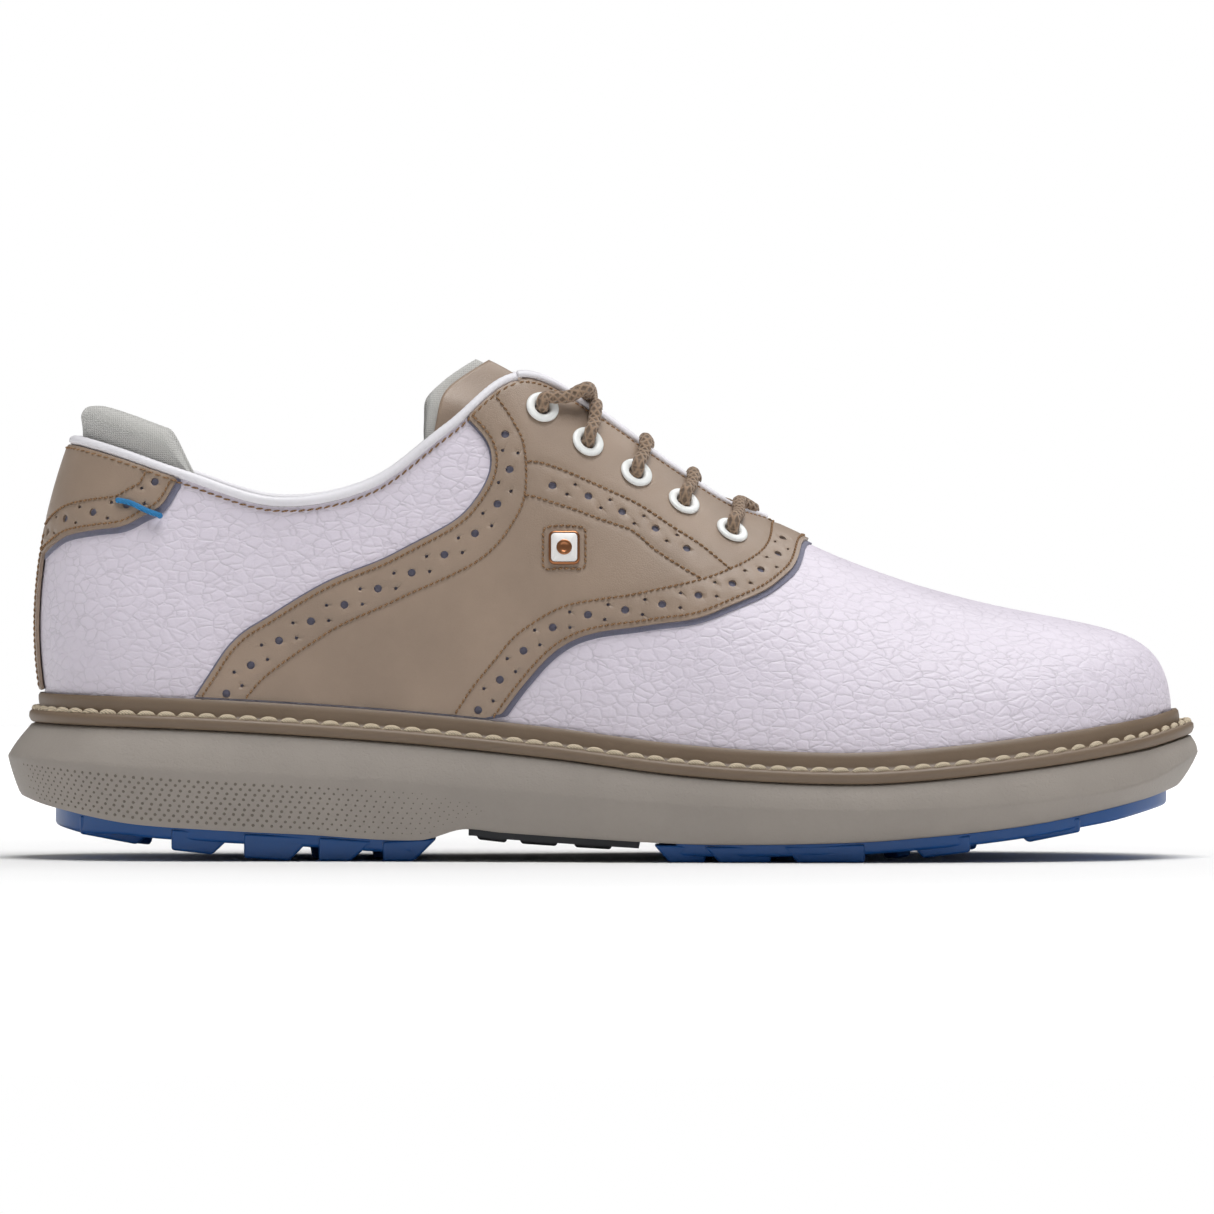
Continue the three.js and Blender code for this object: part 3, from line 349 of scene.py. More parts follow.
def filled(outline, rings, spacing):
    """Fills a flat outline with triangles but leaves the rings open; returns the points and the triangles."""
    low, high = outline.min(0), outline.max(0)
    grid = np.stack(np.meshgrid(np.arange(low[0], high[0], spacing),
                                np.arange(low[1], high[1], spacing), indexing="ij"), -1)
    grid[1::2, :, 1] += spacing / 2
    grid = grid.reshape(-1, 2)
    grid = grid[inside(grid, outline)]
    loops = [outline, *rings]
    flat_edge = tree_of([(*p, 0) for p in np.vstack(loops)])
    grid = grid[distances(flat_edge, [(*p, 0) for p in grid]) > 0.45 * spacing]
    for ring in rings:
        grid = grid[~inside(grid, ring)]
    edges, start = [], 0
    for loop in loops:
        edges += [(start + i, start + (i + 1) % len(loop)) for i in range(len(loop))]
        start += len(loop)
    made = geometry.delaunay_2d_cdt([Vector(p) for p in np.vstack([*loops, grid])], edges, [], 1, 1e-4)
    flat = np.array([tuple(v) for v in made[0]])
    faces = np.array([f for f in made[2] if len(f) == 3])
    middle = flat[faces].mean(1)
    keep = inside(middle, outline)
    for ring in rings:
        keep &= ~inside(middle, ring)
    return flat, faces[keep]


def relief_of(base, loops, top, edge, grooves):
    """How far each point of a face stands out: less near the rims, and less where stitching pulls it in."""
    rim = tree_of(np.vstack([evenly(np.vstack([loop, loop[:1]]), 0.25) for loop in loops]))
    rounding = np.clip(distances(rim, base) / edge, 0, 1)
    raised = top - edge * 0.8 * (1 - np.sqrt(1 - (1 - rounding) ** 2))
    if grooves:
        seam = tree_of(np.vstack([evenly(leather_face(*np.asarray(line).T), 0.4) for line in grooves]))
        raised -= GROOVE_DEPTH * np.exp(-((distances(seam, base) / GROOVE_WIDTH) ** 2))
    return raised


def panel(name, outline, top, bottom, spacing, edge, holes=(), grooves=()):
    """A piece cut from the upper along a closed outline of places (r, t).

    Its face is raised to top and rounded off at the edges, and its walls go down to bottom. holes are
    (place, radius), and grooves are lines of places where stitching pulls the leather in.
    """
    outline = np.asarray(outline) * CELL
    rings = [circle_on_upper(place, radius) * CELL for place, radius in holes]
    flat, faces = filled(outline, rings, spacing)
    r, t = (flat / CELL).T
    base, out = leather_face(r, t), upper_normal(r, t)
    loops = [leather_face(*(loop / CELL).T) for loop in [outline, *rings]]
    raised = relief_of(base, loops, top, edge, grooves)
    corners = np.vstack([base + out * raised[:, None], base + out * bottom])
    count = len(base)
    directed = dict.fromkeys(pair for a, b, c in faces for pair in ((a, b), (b, c), (c, a)))
    walls = [(q, p, p + count, q + count) for p, q in directed if (q, p) not in directed]
    used = np.unique(np.concatenate([faces.ravel(), np.array(walls).ravel()]))
    new = np.full(2 * count, -1)
    new[used] = np.arange(len(used))
    piece = mesh_object(name, corners[used], [tuple(new[list(f)]) for f in [*faces.tolist(), *walls]])
    piece.data.set_sharp_from_angle(angle=SHARP)
    return piece


def shell_faces(columns, rows):
    """The faces of a shell made of an outer and an inner grid of points, closed round the rim."""
    at = np.arange(columns * rows).reshape(columns, rows)
    quads = np.stack([at[:-1, :-1], at[1:, :-1], at[1:, 1:], at[:-1, 1:]], -1).reshape(-1, 4)
    faces = [*quads.tolist(), *(quads[:, ::-1] + at.size).tolist()]
    rim = np.concatenate([at[:-1, 0], at[-1, :-1], at[:0:-1, -1], at[0, :0:-1]])
    return faces + [(b, a, a + at.size, b + at.size) for a, b in zip(rim, np.roll(rim, -1))]


def grid_shell(name, surface, columns, rows, depths):
    """A closed shell from surface(u, v, depth) over the unit square, between two depths."""
    u, v = np.meshgrid(np.linspace(0, 1, columns + 1), np.linspace(0, 1, rows + 1), indexing="ij")
    outer, inner = (surface(u, v, depth).reshape(-1, 3) for depth in (depths[1], depths[0]))
    piece = mesh_object(name, np.vstack([outer, inner]), shell_faces(columns + 1, rows + 1))
    weld(piece)
    piece.data.set_sharp_from_angle(angle=SHARP)
    return piece


def weld(piece, distance=0.02):
    """Joins corners that lie together, drops the walls this leaves inside, and turns all faces outwards."""
    bm = bmesh.new()
    bm.from_mesh(piece.data)
    bmesh.ops.remove_doubles(bm, verts=bm.verts, dist=distance * MM)
    walls = [face for face in bm.faces if sum(len(edge.link_faces) > 2 for edge in face.edges) > 1]
    walls = [face for face in walls if all(len(edge.link_faces) > 1 for edge in face.edges)]
    walls = [face for face in walls if max(abs(corner.co.y) for corner in face.verts) < distance * MM]
    bmesh.ops.delete(bm, geom=walls, context="FACES_ONLY")
    bmesh.ops.recalc_face_normals(bm, faces=bm.faces)
    # Where an inner wall still meets the outer face, the wall must not bend the shading of the face.
    for edge in bm.edges:
        edge.smooth = edge.smooth and len(edge.link_faces) < 3
    bm.to_mesh(piece.data)
    bm.free()


def ring_faces(count, size, closed):
    faces = []
    for i in range(count if closed else count - 1):
        for j in range(size):
            k, n = (j + 1) % size, (i + 1) % count
            faces.append((i * size + j, i * size + k, n * size + k, n * size + j))
    if not closed:
        faces.append(tuple(range(size))[::-1])
        faces.append(tuple((count - 1) * size + j for j in range(size)))
    return faces


def loft(name, loops, closed=False):
    loops = np.asarray(loops, float)
    piece = mesh_object(name, loops.reshape(-1, 3), ring_faces(*loops.shape[:2], closed))
    weld(piece, 0.001)
    piece.data.set_sharp_from_angle(angle=SHARP)
    return piece


def frames_along(path):
    """Directions sideways and across at each point of a path, without twist."""
    ahead = np.roll(path, -1, 0) - np.roll(path, 1, 0)
    ahead[0], ahead[-1] = path[1] - path[0], path[-1] - path[-2]
    ahead /= np.linalg.norm(ahead, axis=1, keepdims=True)
    side = np.cross(ahead[0], (0.3, 0.5, 0.8))
    sides = []
    for a in ahead:
        side = side - a * (side @ a)
        side = side / np.linalg.norm(side)
        sides.append(side)
    sides = np.array(sides)
    return sides, np.cross(ahead, sides)


def tube(name, path, radius, corners, relief=None):
    """A round cord; relief(turn, length) gives how much each point of its skin stands out."""
    path = np.asarray(path, float)
    side, across = frames_along(path)
    turn = np.linspace(0, 2 * np.pi, corners, endpoint=False)
    length = lengths_along(path)
    reach = np.full((len(path), corners), float(radius))
    if relief:
        reach = reach + relief(turn[None, :], length[:, None])
    loops = (path[:, None] + side[:, None] * (np.cos(turn)[None, :, None] * reach[..., None])
             + across[:, None] * (np.sin(turn)[None, :, None] * reach[..., None]))
    piece = mesh_object(name, loops.reshape(-1, 3), ring_faces(len(path), corners, False))
    unroll(piece, length, corners)
    return piece


def unroll(piece, length, corners):
    """Gives a tube a UV map: u goes once round it, and v is the length in millimetres."""
    layer = piece.data.uv_layers.new(name="along")
    for face in piece.data.polygons:
        rings = [corner // corners for corner in face.vertices]
        turns = [corner % corners for corner in face.vertices]
        past_seam = max(turns) - min(turns) > corners / 2
        for loop, ring, turn in zip(face.loop_indices, rings, turns):
            around = (turn + corners if past_seam and turn == 0 else turn) / corners
            layer.data[loop].uv = (around, length[ring])


def beads(name, path, normals, length, width, thick, pitch, slant):
    """Stitches: a row of rounded beads along a path, lying on the surface whose normals are given."""
    lengths = lengths_along(path)
    at = np.arange(pitch / 2, lengths[-1], pitch)
    centre = values_at(at, lengths, path)
    out = values_at(at, lengths, normals)
    ahead = values_at(at + 0.2, lengths, path) - values_at(at - 0.2, lengths, path)
    ahead /= np.linalg.norm(ahead, axis=1, keepdims=True)
    out -= ahead * (out * ahead).sum(1, keepdims=True)
    out /= np.linalg.norm(out, axis=1, keepdims=True)
    across = np.cross(out, ahead)
    ahead = ahead + across * slant
    rings, sides = 7, 8
    along = np.linspace(-1, 1, rings)
    swell = np.sqrt(np.clip(1 - np.abs(along) ** 3, 0.02, 1))
    turn = np.linspace(0, 2 * np.pi, sides, endpoint=False)
    corners, faces = [], []
    base_faces = ring_faces(rings, sides, False)
    for c, a, w, o in zip(centre, ahead, across, out):
        start = len(corners) * rings * sides
        arch = 0.35 * (1 - along ** 2)
        height = np.sin(turn)[None, :] * (swell * thick / 2)[:, None] + arch[:, None] * thick
        loop = (c + a * (along[:, None, None] * length / 2)
                + w * (np.cos(turn)[None, :, None] * (swell * width / 2)[:, None, None])
                + o * height[..., None])
        corners.append(loop.reshape(-1, 3))
        faces += [tuple(start + k for k in f) for f in base_faces]
    return mesh_object(name, np.vstack(corners), faces)


# ------------------------------------------------------------------ materials


class Look:
    """The nodes of a material or of the world, in the making."""

    def __init__(self, tree, coordinates="Object"):
        self.nodes, self.links = tree.nodes, tree.links
        self.where = self.node("TexCoord").outputs[coordinates]

    def node(self, kind, inputs=None, **settings):
        """A new node; each input is a fixed value or another node's output."""
        node = self.nodes.new(f"ShaderNode{kind}")
        for name, value in settings.items():
            setattr(node, name, value)
        self.feed(node, inputs or {})
        return node

    def feed(self, node, inputs):
        for name, value in inputs.items():
            if isinstance(value, bpy.types.NodeSocket):
                self.links.new(value, node.inputs[name])
            else:
                node.inputs[name].default_value = value

    def noise(self, scale, detail=3.0, distortion=0.0):
        inputs = {"Scale": scale, "Detail": detail, "Distortion": distortion, "Vector": self.where}
        return self.node("TexNoise", inputs).outputs["Fac"]

    def ramp(self, value, *stops):
        """Turns a value into colours; each stop is (value, colour), or (value, grey)."""
        node = self.node("ValToRGB", {"Fac": value})
        elements = node.color_ramp.elements
        while len(elements) < len(stops):
            elements.new(0.5)
        for element, (at, colour) in zip(elements, stops):
            element.position = at
            element.color = (*colour, 1) if isinstance(colour, tuple) else (colour, colour, colour, 1)
        return node.outputs["Color"]

    def mix(self, share, first, second):
        inputs = {"Factor": share, "A": first, "B": second}
        return self.node("Mix", inputs, data_type="RGBA").outputs["Result"]

    def maths(self, operation, first, second):
        return self.node("Math", {0: first, 1: second}, operation=operation).outputs["Value"]

    def cells(self, where, scale, wander):
        """Irregular cells: a Voronoi pattern whose lines wander a little."""
        wobble = self.node("TexNoise", {"Scale": scale * 0.9, "Vector": where}).outputs["Color"]
        moved = self.node("VectorMath", {0: wobble, 1: (wander / scale,) * 3, 2: where},
                          operation="MULTIPLY_ADD").outputs["Vector"]
        return self.node("TexVoronoi", {"Scale": scale, "Vector": moved},
                         feature="DISTANCE_TO_EDGE").outputs["Distance"]


class Surface(Look):
    """A material of one shader."""

    def __init__(self, name, roughness):
        self.material = bpy.data.materials.new(name)
        self.material.use_nodes = True
        super().__init__(self.material.node_tree)
        self.shader = self.nodes["Principled BSDF"]
        self.wear({"Roughness": roughness})

    def wear(self, inputs):
        self.feed(self.shader, inputs)

    def bump(self, *heights):
        """Stacks bumps; heights are (value, distance in metres, strength)."""
        normal = {}
        for value, distance, strength in heights:
            inputs = {"Distance": distance, "Strength": strength, "Height": value, **normal}
            normal = {"Normal": self.node("Bump", inputs).outputs["Normal"]}
        self.wear(normal)


def rgb(red, green, blue):
    """A colour from its everyday 0 to 255 values."""
    return tuple(((c / 255) / 12.92) if c <= 10 else (((c / 255) + 0.055) / 1.055) ** 2.4
                 for c in (red, green, blue))


def shade(colour, factor):
    return tuple(min(c * factor, 1) for c in colour)


def pebbled_leather(name, colour):
    """Tumbled white leather: soft pillows 2 to 4 mm across, with creases that come and go between them; the
    creases are painted darker, as shade.
    """
    look = Surface(name, 0.5)
    stretch = look.node("Mapping", {"Scale": (0.8, 1.0, 1.2), "Vector": look.where}).outputs["Vector"]
    pillows = look.ramp(look.cells(stretch, 330, 0.7), (0.0, 0), (0.16, 0.8), (0.4, 1))
    small = look.ramp(look.cells(stretch, 800, 0.8), (0.0, 0), (0.3, 1))
    creases = look.ramp(look.cells(stretch, 170, 1.0), (0.0, 0), (0.07, 1))
    patches = look.noise(30, 4)
    # Painted shade: the colour between the pillows is darker and stands in for the shade in the creases.
    crease_shade_colour = look.ramp(look.noise(160, 3), (0.35, shade(colour, 0.96)), (0.65, shade(colour, 0.8)))
    on_pillows = look.ramp(patches, (0.35, shade(colour, 0.95)), (0.65, colour))
    look.wear({
        "Base Color": look.mix(look.ramp(pillows, (0.0, 0), (0.35, 1)), crease_shade_colour, on_pillows),
        "Roughness": look.ramp(patches, (0.3, 0.42), (0.7, 0.56)),
        "Coat Weight": 0.05,
        "Coat Roughness": 0.35,
    })
    look.bump((creases, 0.0002, 0.3), (pillows, 0.00028, 0.5), (small, 0.00006, 0.35),
              (look.noise(2500, 2), 0.00003, 0.3))
    return look.material


def smooth_leather(name, colour):
    """Tan leather with a fine grain, faint creases and a satin finish."""
    look = Surface(name, 0.42)
    clouds = look.noise(45, 5)
    dark, pale = shade(colour, 0.88), shade(colour, 1.1)
    look.wear({
        "Base Color": look.ramp(clouds, (0.3, dark), (0.55, colour), (0.75, pale)),
        "Roughness": look.ramp(clouds, (0.3, 0.46), (0.7, 0.36)),
    })
    grain = look.ramp(look.cells(look.where, 1500, 0.35), (0.0, 0), (0.15, 1))
    look.bump((look.noise(220, 3, 1.2), 0.00025, 0.25), (grain, 0.00006, 0.45))
    return look.material


def woven(name, colour, scale, depth=0.0002):
    """Cloth: two crossed sets of threads, with fuzz and a little sheen."""
    look = Surface(name, 0.9)
    inputs = {"Scale": scale, "Distortion": 1.5, "Detail Scale": 4, "Vector": look.where}
    waves = [look.node("TexWave", inputs, bands_direction=way).outputs["Fac"] for way in ("X", "Z")]
    cross = look.maths("MAXIMUM", *waves)
    woven = look.ramp(cross, (0.2, shade(colour, 0.72)), (0.8, colour))
    look.wear({"Base Color": woven, "Sheen Weight": 0.25})
    look.bump((cross, depth, 0.6), (look.noise(3000), 0.00005, 0.4))
    return look.material


def moulded(name, colour, roughness, grain=700, depth=0.00008, wear=0.93, metallic=0.0):
    """Moulded rubber, plastic or metal with a fine texture and faint scuffs."""
    look = Surface(name, roughness)
    clouds = look.noise(60, 4)
    look.wear({
        "Base Color": look.ramp(clouds, (0.35, shade(colour, wear)), (0.65, colour)),
        "Roughness": look.ramp(clouds, (0.3, roughness - 0.06), (0.7, roughness + 0.06)),
        "Metallic": metallic,
    })
    look.bump((look.noise(grain, 3, 1.0), depth, 0.6))
    return look.material


def thread(name, colour, scale):
    """Twisted thread: light and dark turns along the stitch, a painted highlight on each turn and painted shade
    between them.
    """
    look = Surface(name, 0.7)
    inputs = {"Scale": scale, "Distortion": 2, "Vector": look.where}
    wave = look.node("TexWave", inputs, bands_direction="DIAGONAL").outputs["Fac"]
    # Painted light: the colour is lighter on each turn of the twist and darker between the turns.
    look.wear({"Base Color": look.ramp(wave, (0.2, shade(colour, 0.6)), (0.8, shade(colour, 1.15)))})
    look.bump((wave, 0.0001, 0.6))
    return look.material


def braided(name, colour, strands, pitch):
    """Round braid: two sets of strands that cross, seen in the tube's own UV map, with pale flecks, painted shade
    between the strands and a painted highlight on their crowns.
    """
    look = Surface(name, 0.8)
    place = look.node("UVMap").outputs["UV"]
    split = look.node("SeparateXYZ", {"Vector": place}).outputs
    sets = []
    for lean in (1, -1):
        turns = look.maths("MULTIPLY", split["X"], 2 * math.pi * strands)
        rise = look.maths("MULTIPLY", split["Y"], lean * 2 * math.pi / pitch)
        sets.append(look.maths("SINE", look.maths("ADD", turns, rise), 0.0))
    height = look.maths("MAXIMUM", *sets)
    # Painted light: darker where the strands dip, lighter on their crowns.
    strand_highlight_and_shade = look.ramp(height, (0.1, shade(colour, 0.6)), (0.5, colour), (1.0, shade(colour, 1.3)))
    flecks = look.node("TexNoise", {"Scale": 2.2, "Vector": place}).outputs["Fac"]
    pale = (*shade(colour, 1.7), 1)
    look.wear({"Base Color": look.mix(look.ramp(flecks, (0.52, 0), (0.66, 0.6)), strand_highlight_and_shade, pale), "Sheen Weight": 0.2})
    look.bump((height, 0.0002, 0.6))
    return look.material


BRAID_STRANDS = 5
BRAID_PITCH = 2.6
WHITE = pebbled_leather("white_pebbled_leather", rgb(226, 218, 230))
TAN = smooth_leather("tan_leather", rgb(158, 138, 121))
PIPING = moulded("piping_leather", rgb(240, 238, 243), 0.5, 900, 0.00012)
UNDERLAY = woven("underlay_microfibre", rgb(126, 126, 146), 900)
KNIT = woven("collar_knit", rgb(200, 199, 195), 620, depth=0.0002)
LINING = woven("lining_mesh", rgb(190, 190, 188), 350, depth=0.0003)
MIDSOLE = moulded("midsole_foam", rgb(160, 152, 144), 0.62, 900, 0.0003)
WELT = moulded("welt_rubber", rgb(122, 104, 86), 0.5, 900, 0.00006)
BLUE = moulded("blue_lugs", rgb(16, 80, 148), 0.35, 500, 0.00004)
# Dark grey for the arch pieces: partly the plastic's own colour, partly painted shade for the deep shade under the
# arch.
ARCH_DARK_AND_SHADE = moulded("dark_plate_and_shade", rgb(48, 50, 55), 0.5)
CREAM = thread("cream_thread", rgb(206, 190, 164), 900)
TAN_THREAD = thread("tan_thread", rgb(146, 112, 78), 800)
BLUE_THREAD = thread("blue_thread", rgb(36, 130, 190), 1500)
LACE = braided("lace_braid", rgb(134, 112, 92), BRAID_STRANDS, BRAID_PITCH)
EYELET = moulded("eyelet_enamel", rgb(240, 242, 240), 0.25, 300, 0.00001, 0.99)
COPPER = moulded("badge_copper", rgb(178, 120, 82), 0.3, 800, 0.00002, metallic=0.85)
BADGE_FACE = moulded("badge_face", rgb(240, 238, 236), 0.3, 800, 0.00001, 0.98)
DOTS = moulded("dot_shadow", rgb(120, 112, 103), 0.8)
STEEL = moulded("shank_steel", rgb(150, 152, 156), 0.3, metallic=1.0)
BOARD = woven("fibre_board", rgb(184, 158, 118), 300)
FOAM = moulded("foam", rgb(216, 207, 180), 0.9, 1500, 0.0002)
FOOTBED = woven("footbed_cloth", rgb(150, 148, 145), 500)

# ------------------------------------------------------------------ camera and light

# The view is this wide at the shoe, and the camera stands far off, because the photograph is almost flat-on.
VIEW_WIDTH = 0.314
CAMERA_DISTANCE = 6.0
CAMERA_RISE = math.radians(1.0)
CAMERA_AIM = Vector((0.0011, 0, 0.0648))
FILL = 0.12
FLOOR_REACH = 1.5


def place_in_scene(name, data, location=(0, 0, 0), rotation=(0, 0, 0)):
    thing = bpy.data.objects.new(name, data)
    thing.location = location
    thing.rotation_euler = rotation
    bpy.context.scene.collection.objects.link(thing)
    return thing


def add_camera():
    data = bpy.data.cameras.new("camera")
    data.lens = data.sensor_width * CAMERA_DISTANCE / VIEW_WIDTH
    data.dof.use_dof = False
    data.clip_end = 20
    away = Vector((0, -math.cos(CAMERA_RISE), math.sin(CAMERA_RISE))) * CAMERA_DISTANCE
    camera = place_in_scene("camera", data, CAMERA_AIM + away, (math.radians(90) - CAMERA_RISE, 0, 0))
    bpy.context.scene.camera = camera


def add_world():
    """White round the horizon, behind the shoe, and only a faint fill overhead."""
    world = bpy.data.worlds.new("studio")
    bpy.context.scene.world = world
    world.use_nodes = True
    look = Look(world.node_tree, "Generated")
    height = look.node("SeparateXYZ", {"Vector": look.where}).outputs["Z"]
    look.feed(look.nodes["Background"], {"Color": look.ramp(height, (0.05, 1.0), (0.12, FILL))})


def add_lights():
    """A wide key light almost overhead, so that the walls fall off into shade, and a rim light behind."""
    rim = bpy.data.lights.new("rim", "AREA")
    rim.shape = "RECTANGLE"
    rim.size, rim.size_y = 0.6, 0.4
    rim.energy = 2.5
    at = Vector((0.4, 0.5, 0.9))
    place_in_scene("rim", rim, at, (Vector((0, 0, 0.07)) - at).to_track_quat("-Z", "Y").to_euler())
    key = bpy.data.lights.new("key", "SUN")
    key.angle = math.radians(35)
    key.energy = 2.6
    place_in_scene("key", key, rotation=(math.radians(12), math.radians(6), 0))


def add_floor():
    """A round plain floor that grows as bright as the horizon away from the shoe."""
    turn = np.linspace(0, 2 * np.pi, 96, endpoint=False)
    ring = [(FLOOR_REACH * math.cos(a), FLOOR_REACH * math.sin(a), 0) for a in turn]
    mesh = bpy.data.meshes.new("floor")
    mesh.from_pydata(ring, [], [tuple(range(len(ring)))])
    look = Surface("floor", 0.9)
    distance = look.node("VectorMath", {0: look.where}, operation="LENGTH").outputs["Value"]
    look.wear({"Base Color": (0.85, 0.85, 0.85, 1), "Emission Strength": 1.0,
               "Emission Color": look.ramp(distance, (0.1, 0.0), (0.5, 0.35))})
    mesh.materials.append(look.material)
    place_in_scene("floor", mesh)


bpy.context.scene.view_settings.view_transform = "Standard"
add_camera()
add_world()
add_lights()
add_floor()

# ------------------------------------------------------------------ sole


def widest_grow(s):
    return np.interp(s, [0, 2, 4, 8, TOE], [11.4, 9.5, 7.5, 6.6, 6.9])


def lower_grow(s):
    return widest_grow(s) - (3.2 + 1.8 * s / TOE)


def slab(name, start, end, steps, levels):
    """A layer of the sole; levels are (grow(s), height(x)) from top to bottom."""
    s = np.linspace(start, end, steps + 1)

    def corners(side, grow, height):
        plan, _ = sole_line(round_of(side, s), grow(s))
        return np.column_stack([plan, height(plan[:, 0])])

    loops = [corners(LATERAL, *level) for level in levels]
    loops += [corners(MEDIAL, *level) for level in reversed(levels)]
    return loft(name, np.stack(loops, 1))


def fixed(value):
    return lambda s: np.full_like(np.asarray(s, float), value)


def above(height, rise):
    return lambda x: height(x) + rise


def between_levels(a, b, share, swell=0.0):
    """A level part of the way from a to b, standing out a little."""
    return (lambda s: a[0](s) * (1 - share) + b[0](s) * share + swell,
            lambda x: a[1](x) * (1 - share) + b[1](x) * share)


def midsole():
    top = (fixed(4.9), midsole_top)
    inner_top = (fixed(3.6), above(midsole_top, 0.15))
    widest = (widest_grow, midsole_widest)
    low = (lower_grow, midsole_bottom)
    inner_low = (lambda s: lower_grow(s) - 2.4, above(midsole_bottom, -0.1))
    levels = [inner_top, between_levels(inner_top, top, 0.6), between_levels(top, widest, 0.04, 0.15)]
    levels += [between_levels(top, widest, share, 0.5 * math.sin(math.pi * share))
               for share in (0.15, 0.35, 0.55, 0.75, 0.88)]
    levels += [between_levels(top, widest, 0.95, 0.1), between_levels(widest, low, 0.01, -0.08),
               between_levels(widest, low, 0.07, 0.02)]
    levels += [between_levels(widest, low, share, 0.25 * math.sin(math.pi * share))
               for share in (0.25, 0.5, 0.75)]
    levels += [between_levels(widest, low, 0.92), between_levels(low, inner_low, 0.15),
               between_levels(low, inner_low, 0.6), inner_low]
    piece = slab("midsole", 0, TOE, 620, levels)
    finish_piece(piece, MIDSOLE, "midsole_foam", "midsole")
    return between_levels(widest, low, 0.0), low


def dot_field(widest, low):
    """Rows of small dots on the heel of the midsole, on both sides."""
    corners, faces = [], []
    rows = 9
    for _, side in SIDES:
        for row in range(rows):
            share = 0.16 + 0.72 * row / (rows - 1)
            level = between_levels(widest, low, share, 0.2 * math.sin(math.pi * share))
            reach = 3.0 + 0.6 * math.sin(math.pi * row / (rows - 1))
            s = np.linspace(0.75 + 0.1 * (row % 3), reach + 2.6, 900)
            plan, out = sole_line(round_of(side, s), level[0](s))
            line = np.column_stack([plan, level[1](plan[:, 0])])
            length = lengths_along(line)
            for at in np.arange(1.2 * (row % 2), length[-1], 2.4):
                centre = values_at([at], length, line)[0]
                normal = np.array([*values_at([at], length, out)[0], -0.35])
                normal /= np.linalg.norm(normal)
                fade = np.clip(1.25 - abs(at / length[-1] - 0.42) * 1.6, 0.25, 1)
                disc(corners, faces, centre, normal, 0.42 * fade, 0.1)
    finish_piece(mesh_object("midsole_dots", corners, faces), DOTS, "midsole_foam", "midsole")


def disc(corners, faces, centre, normal, radius, height, sides=8):
    """Adds a low round dome to a mesh in the making."""
    across = np.cross(normal, UP)
    across /= np.linalg.norm(across)
    rise = np.cross(across, normal)
    start = len(corners)
    for size, lift in ((1.0, -0.3), (1.0, height * 0.5), (0.7, height)):
        for k in range(sides):
            turn = 2 * math.pi * k / sides
            corners.append(centre + (across * math.cos(turn) + rise * math.sin(turn)) * radius * size
                           + normal * lift)
    faces.extend([start + i * sides + j for i, j in quad]
                 for ring in range(2) for k in range(sides)
                 for quad in [((ring, k), (ring, (k + 1) % sides),
                               (ring + 1, (k + 1) % sides), (ring + 1, k))])
    faces.append([start + 2 * sides + k for k in range(sides)])
    faces.append([start + k for k in range(sides)][::-1])


HEEL_LUGS = [(-134.8, -120.2), (-111, -100.5), (-92.3, -80.6), (-73.1, -64.9), (-56.6, -48.6)]
FOREFOOT_LUGS = [(17.1, 26.4), (30, 43.2), (50.1, 67.3), (82.3, 94.4), (109.4, 122.8)]
tread = height_along([(-146, 9.4), (-127, 5), (-106, 2.2), (-88, 0.5), (-80, 0), (-40, 0), (10, 0), (66, 0),
                      (74, 0.3), (88, 1.8), (116, 6), (137, 11.3), (147, 14)])


def ground(x):
    return np.maximum(tread(x), 0)


def tread_edge(side, x):
    s = np.linspace(0, TOE, 600)
    plan, _ = sole_line(round_of(side, s), -0.2)
    return abs(plan[np.argmin(abs(plan[:, 0] - x)), 1])


def boxes(name, solids, material, slot, bevel, *nodes):
    """Several closed six-sided solids in one piece, with rounded edges."""
    corners, faces = [], []
    for lower, upper_loop in solids:
        start, n = len(corners), len(lower)
        corners += [*lower, *upper_loop]
        faces.append([start + i for i in range(n)])
        faces.append([start + n + i for i in reversed(range(n))])
        faces += [[start + i, start + n + i, start + n + (i + 1) % n, start + (i + 1) % n] for i in range(n)]
    piece = mesh_object(name, corners, faces)
    weld(piece, 0.0001)
    rounder = piece.modifiers.new("rounding", "BEVEL")
    rounder.width = bevel * MM
    rounder.segments = 3
    rounder.limit_method = "ANGLE"
    rounder.angle_limit = math.radians(25)
    rounder.harden_normals = True
    finish_piece(piece, material, slot, *nodes)


def lug(back, front, slope, side):
    """A tread block: a long root under the plate and a shorter face on the ground."""
    root = (back, front + slope) if slope > 0 else (back + slope, front)
    reach = min(tread_edge(side, back), tread_edge(side, front))
    ends = [(side * reach, side * (reach - 0.9)), (side * (reach - 15), side * (reach - 14.4))]
    loops = []
    for y, tip_y in ends:
        loops.append([(root[0], y, midsole_bottom(root[0]) - 0.6),
                      (root[1], y, midsole_bottom(root[1]) - 0.6),
                      (front, tip_y, ground(front)), (back, tip_y, ground(back))])
    return loops


def nub(x, y, size=4.6):
    def ring(reach, height):
        return [(x + dx * reach, y + dy * reach, height(x + dx * reach))
                for dx, dy in ((1, 0), (0, 1), (-1, 0), (0, -1))]
    return ring(size, above(midsole_bottom, -0.7)), ring(size - 1.2, ground)


def plate_bottom(x):
    """The underside of the plates, which comes down nearly to the tread at the heel and toe ends."""
    share = smoothstep(np.abs(x), 122, 136)
    return (midsole_bottom(x) - 3.3) * (1 - share) + (ground(x) + 0.3) * share


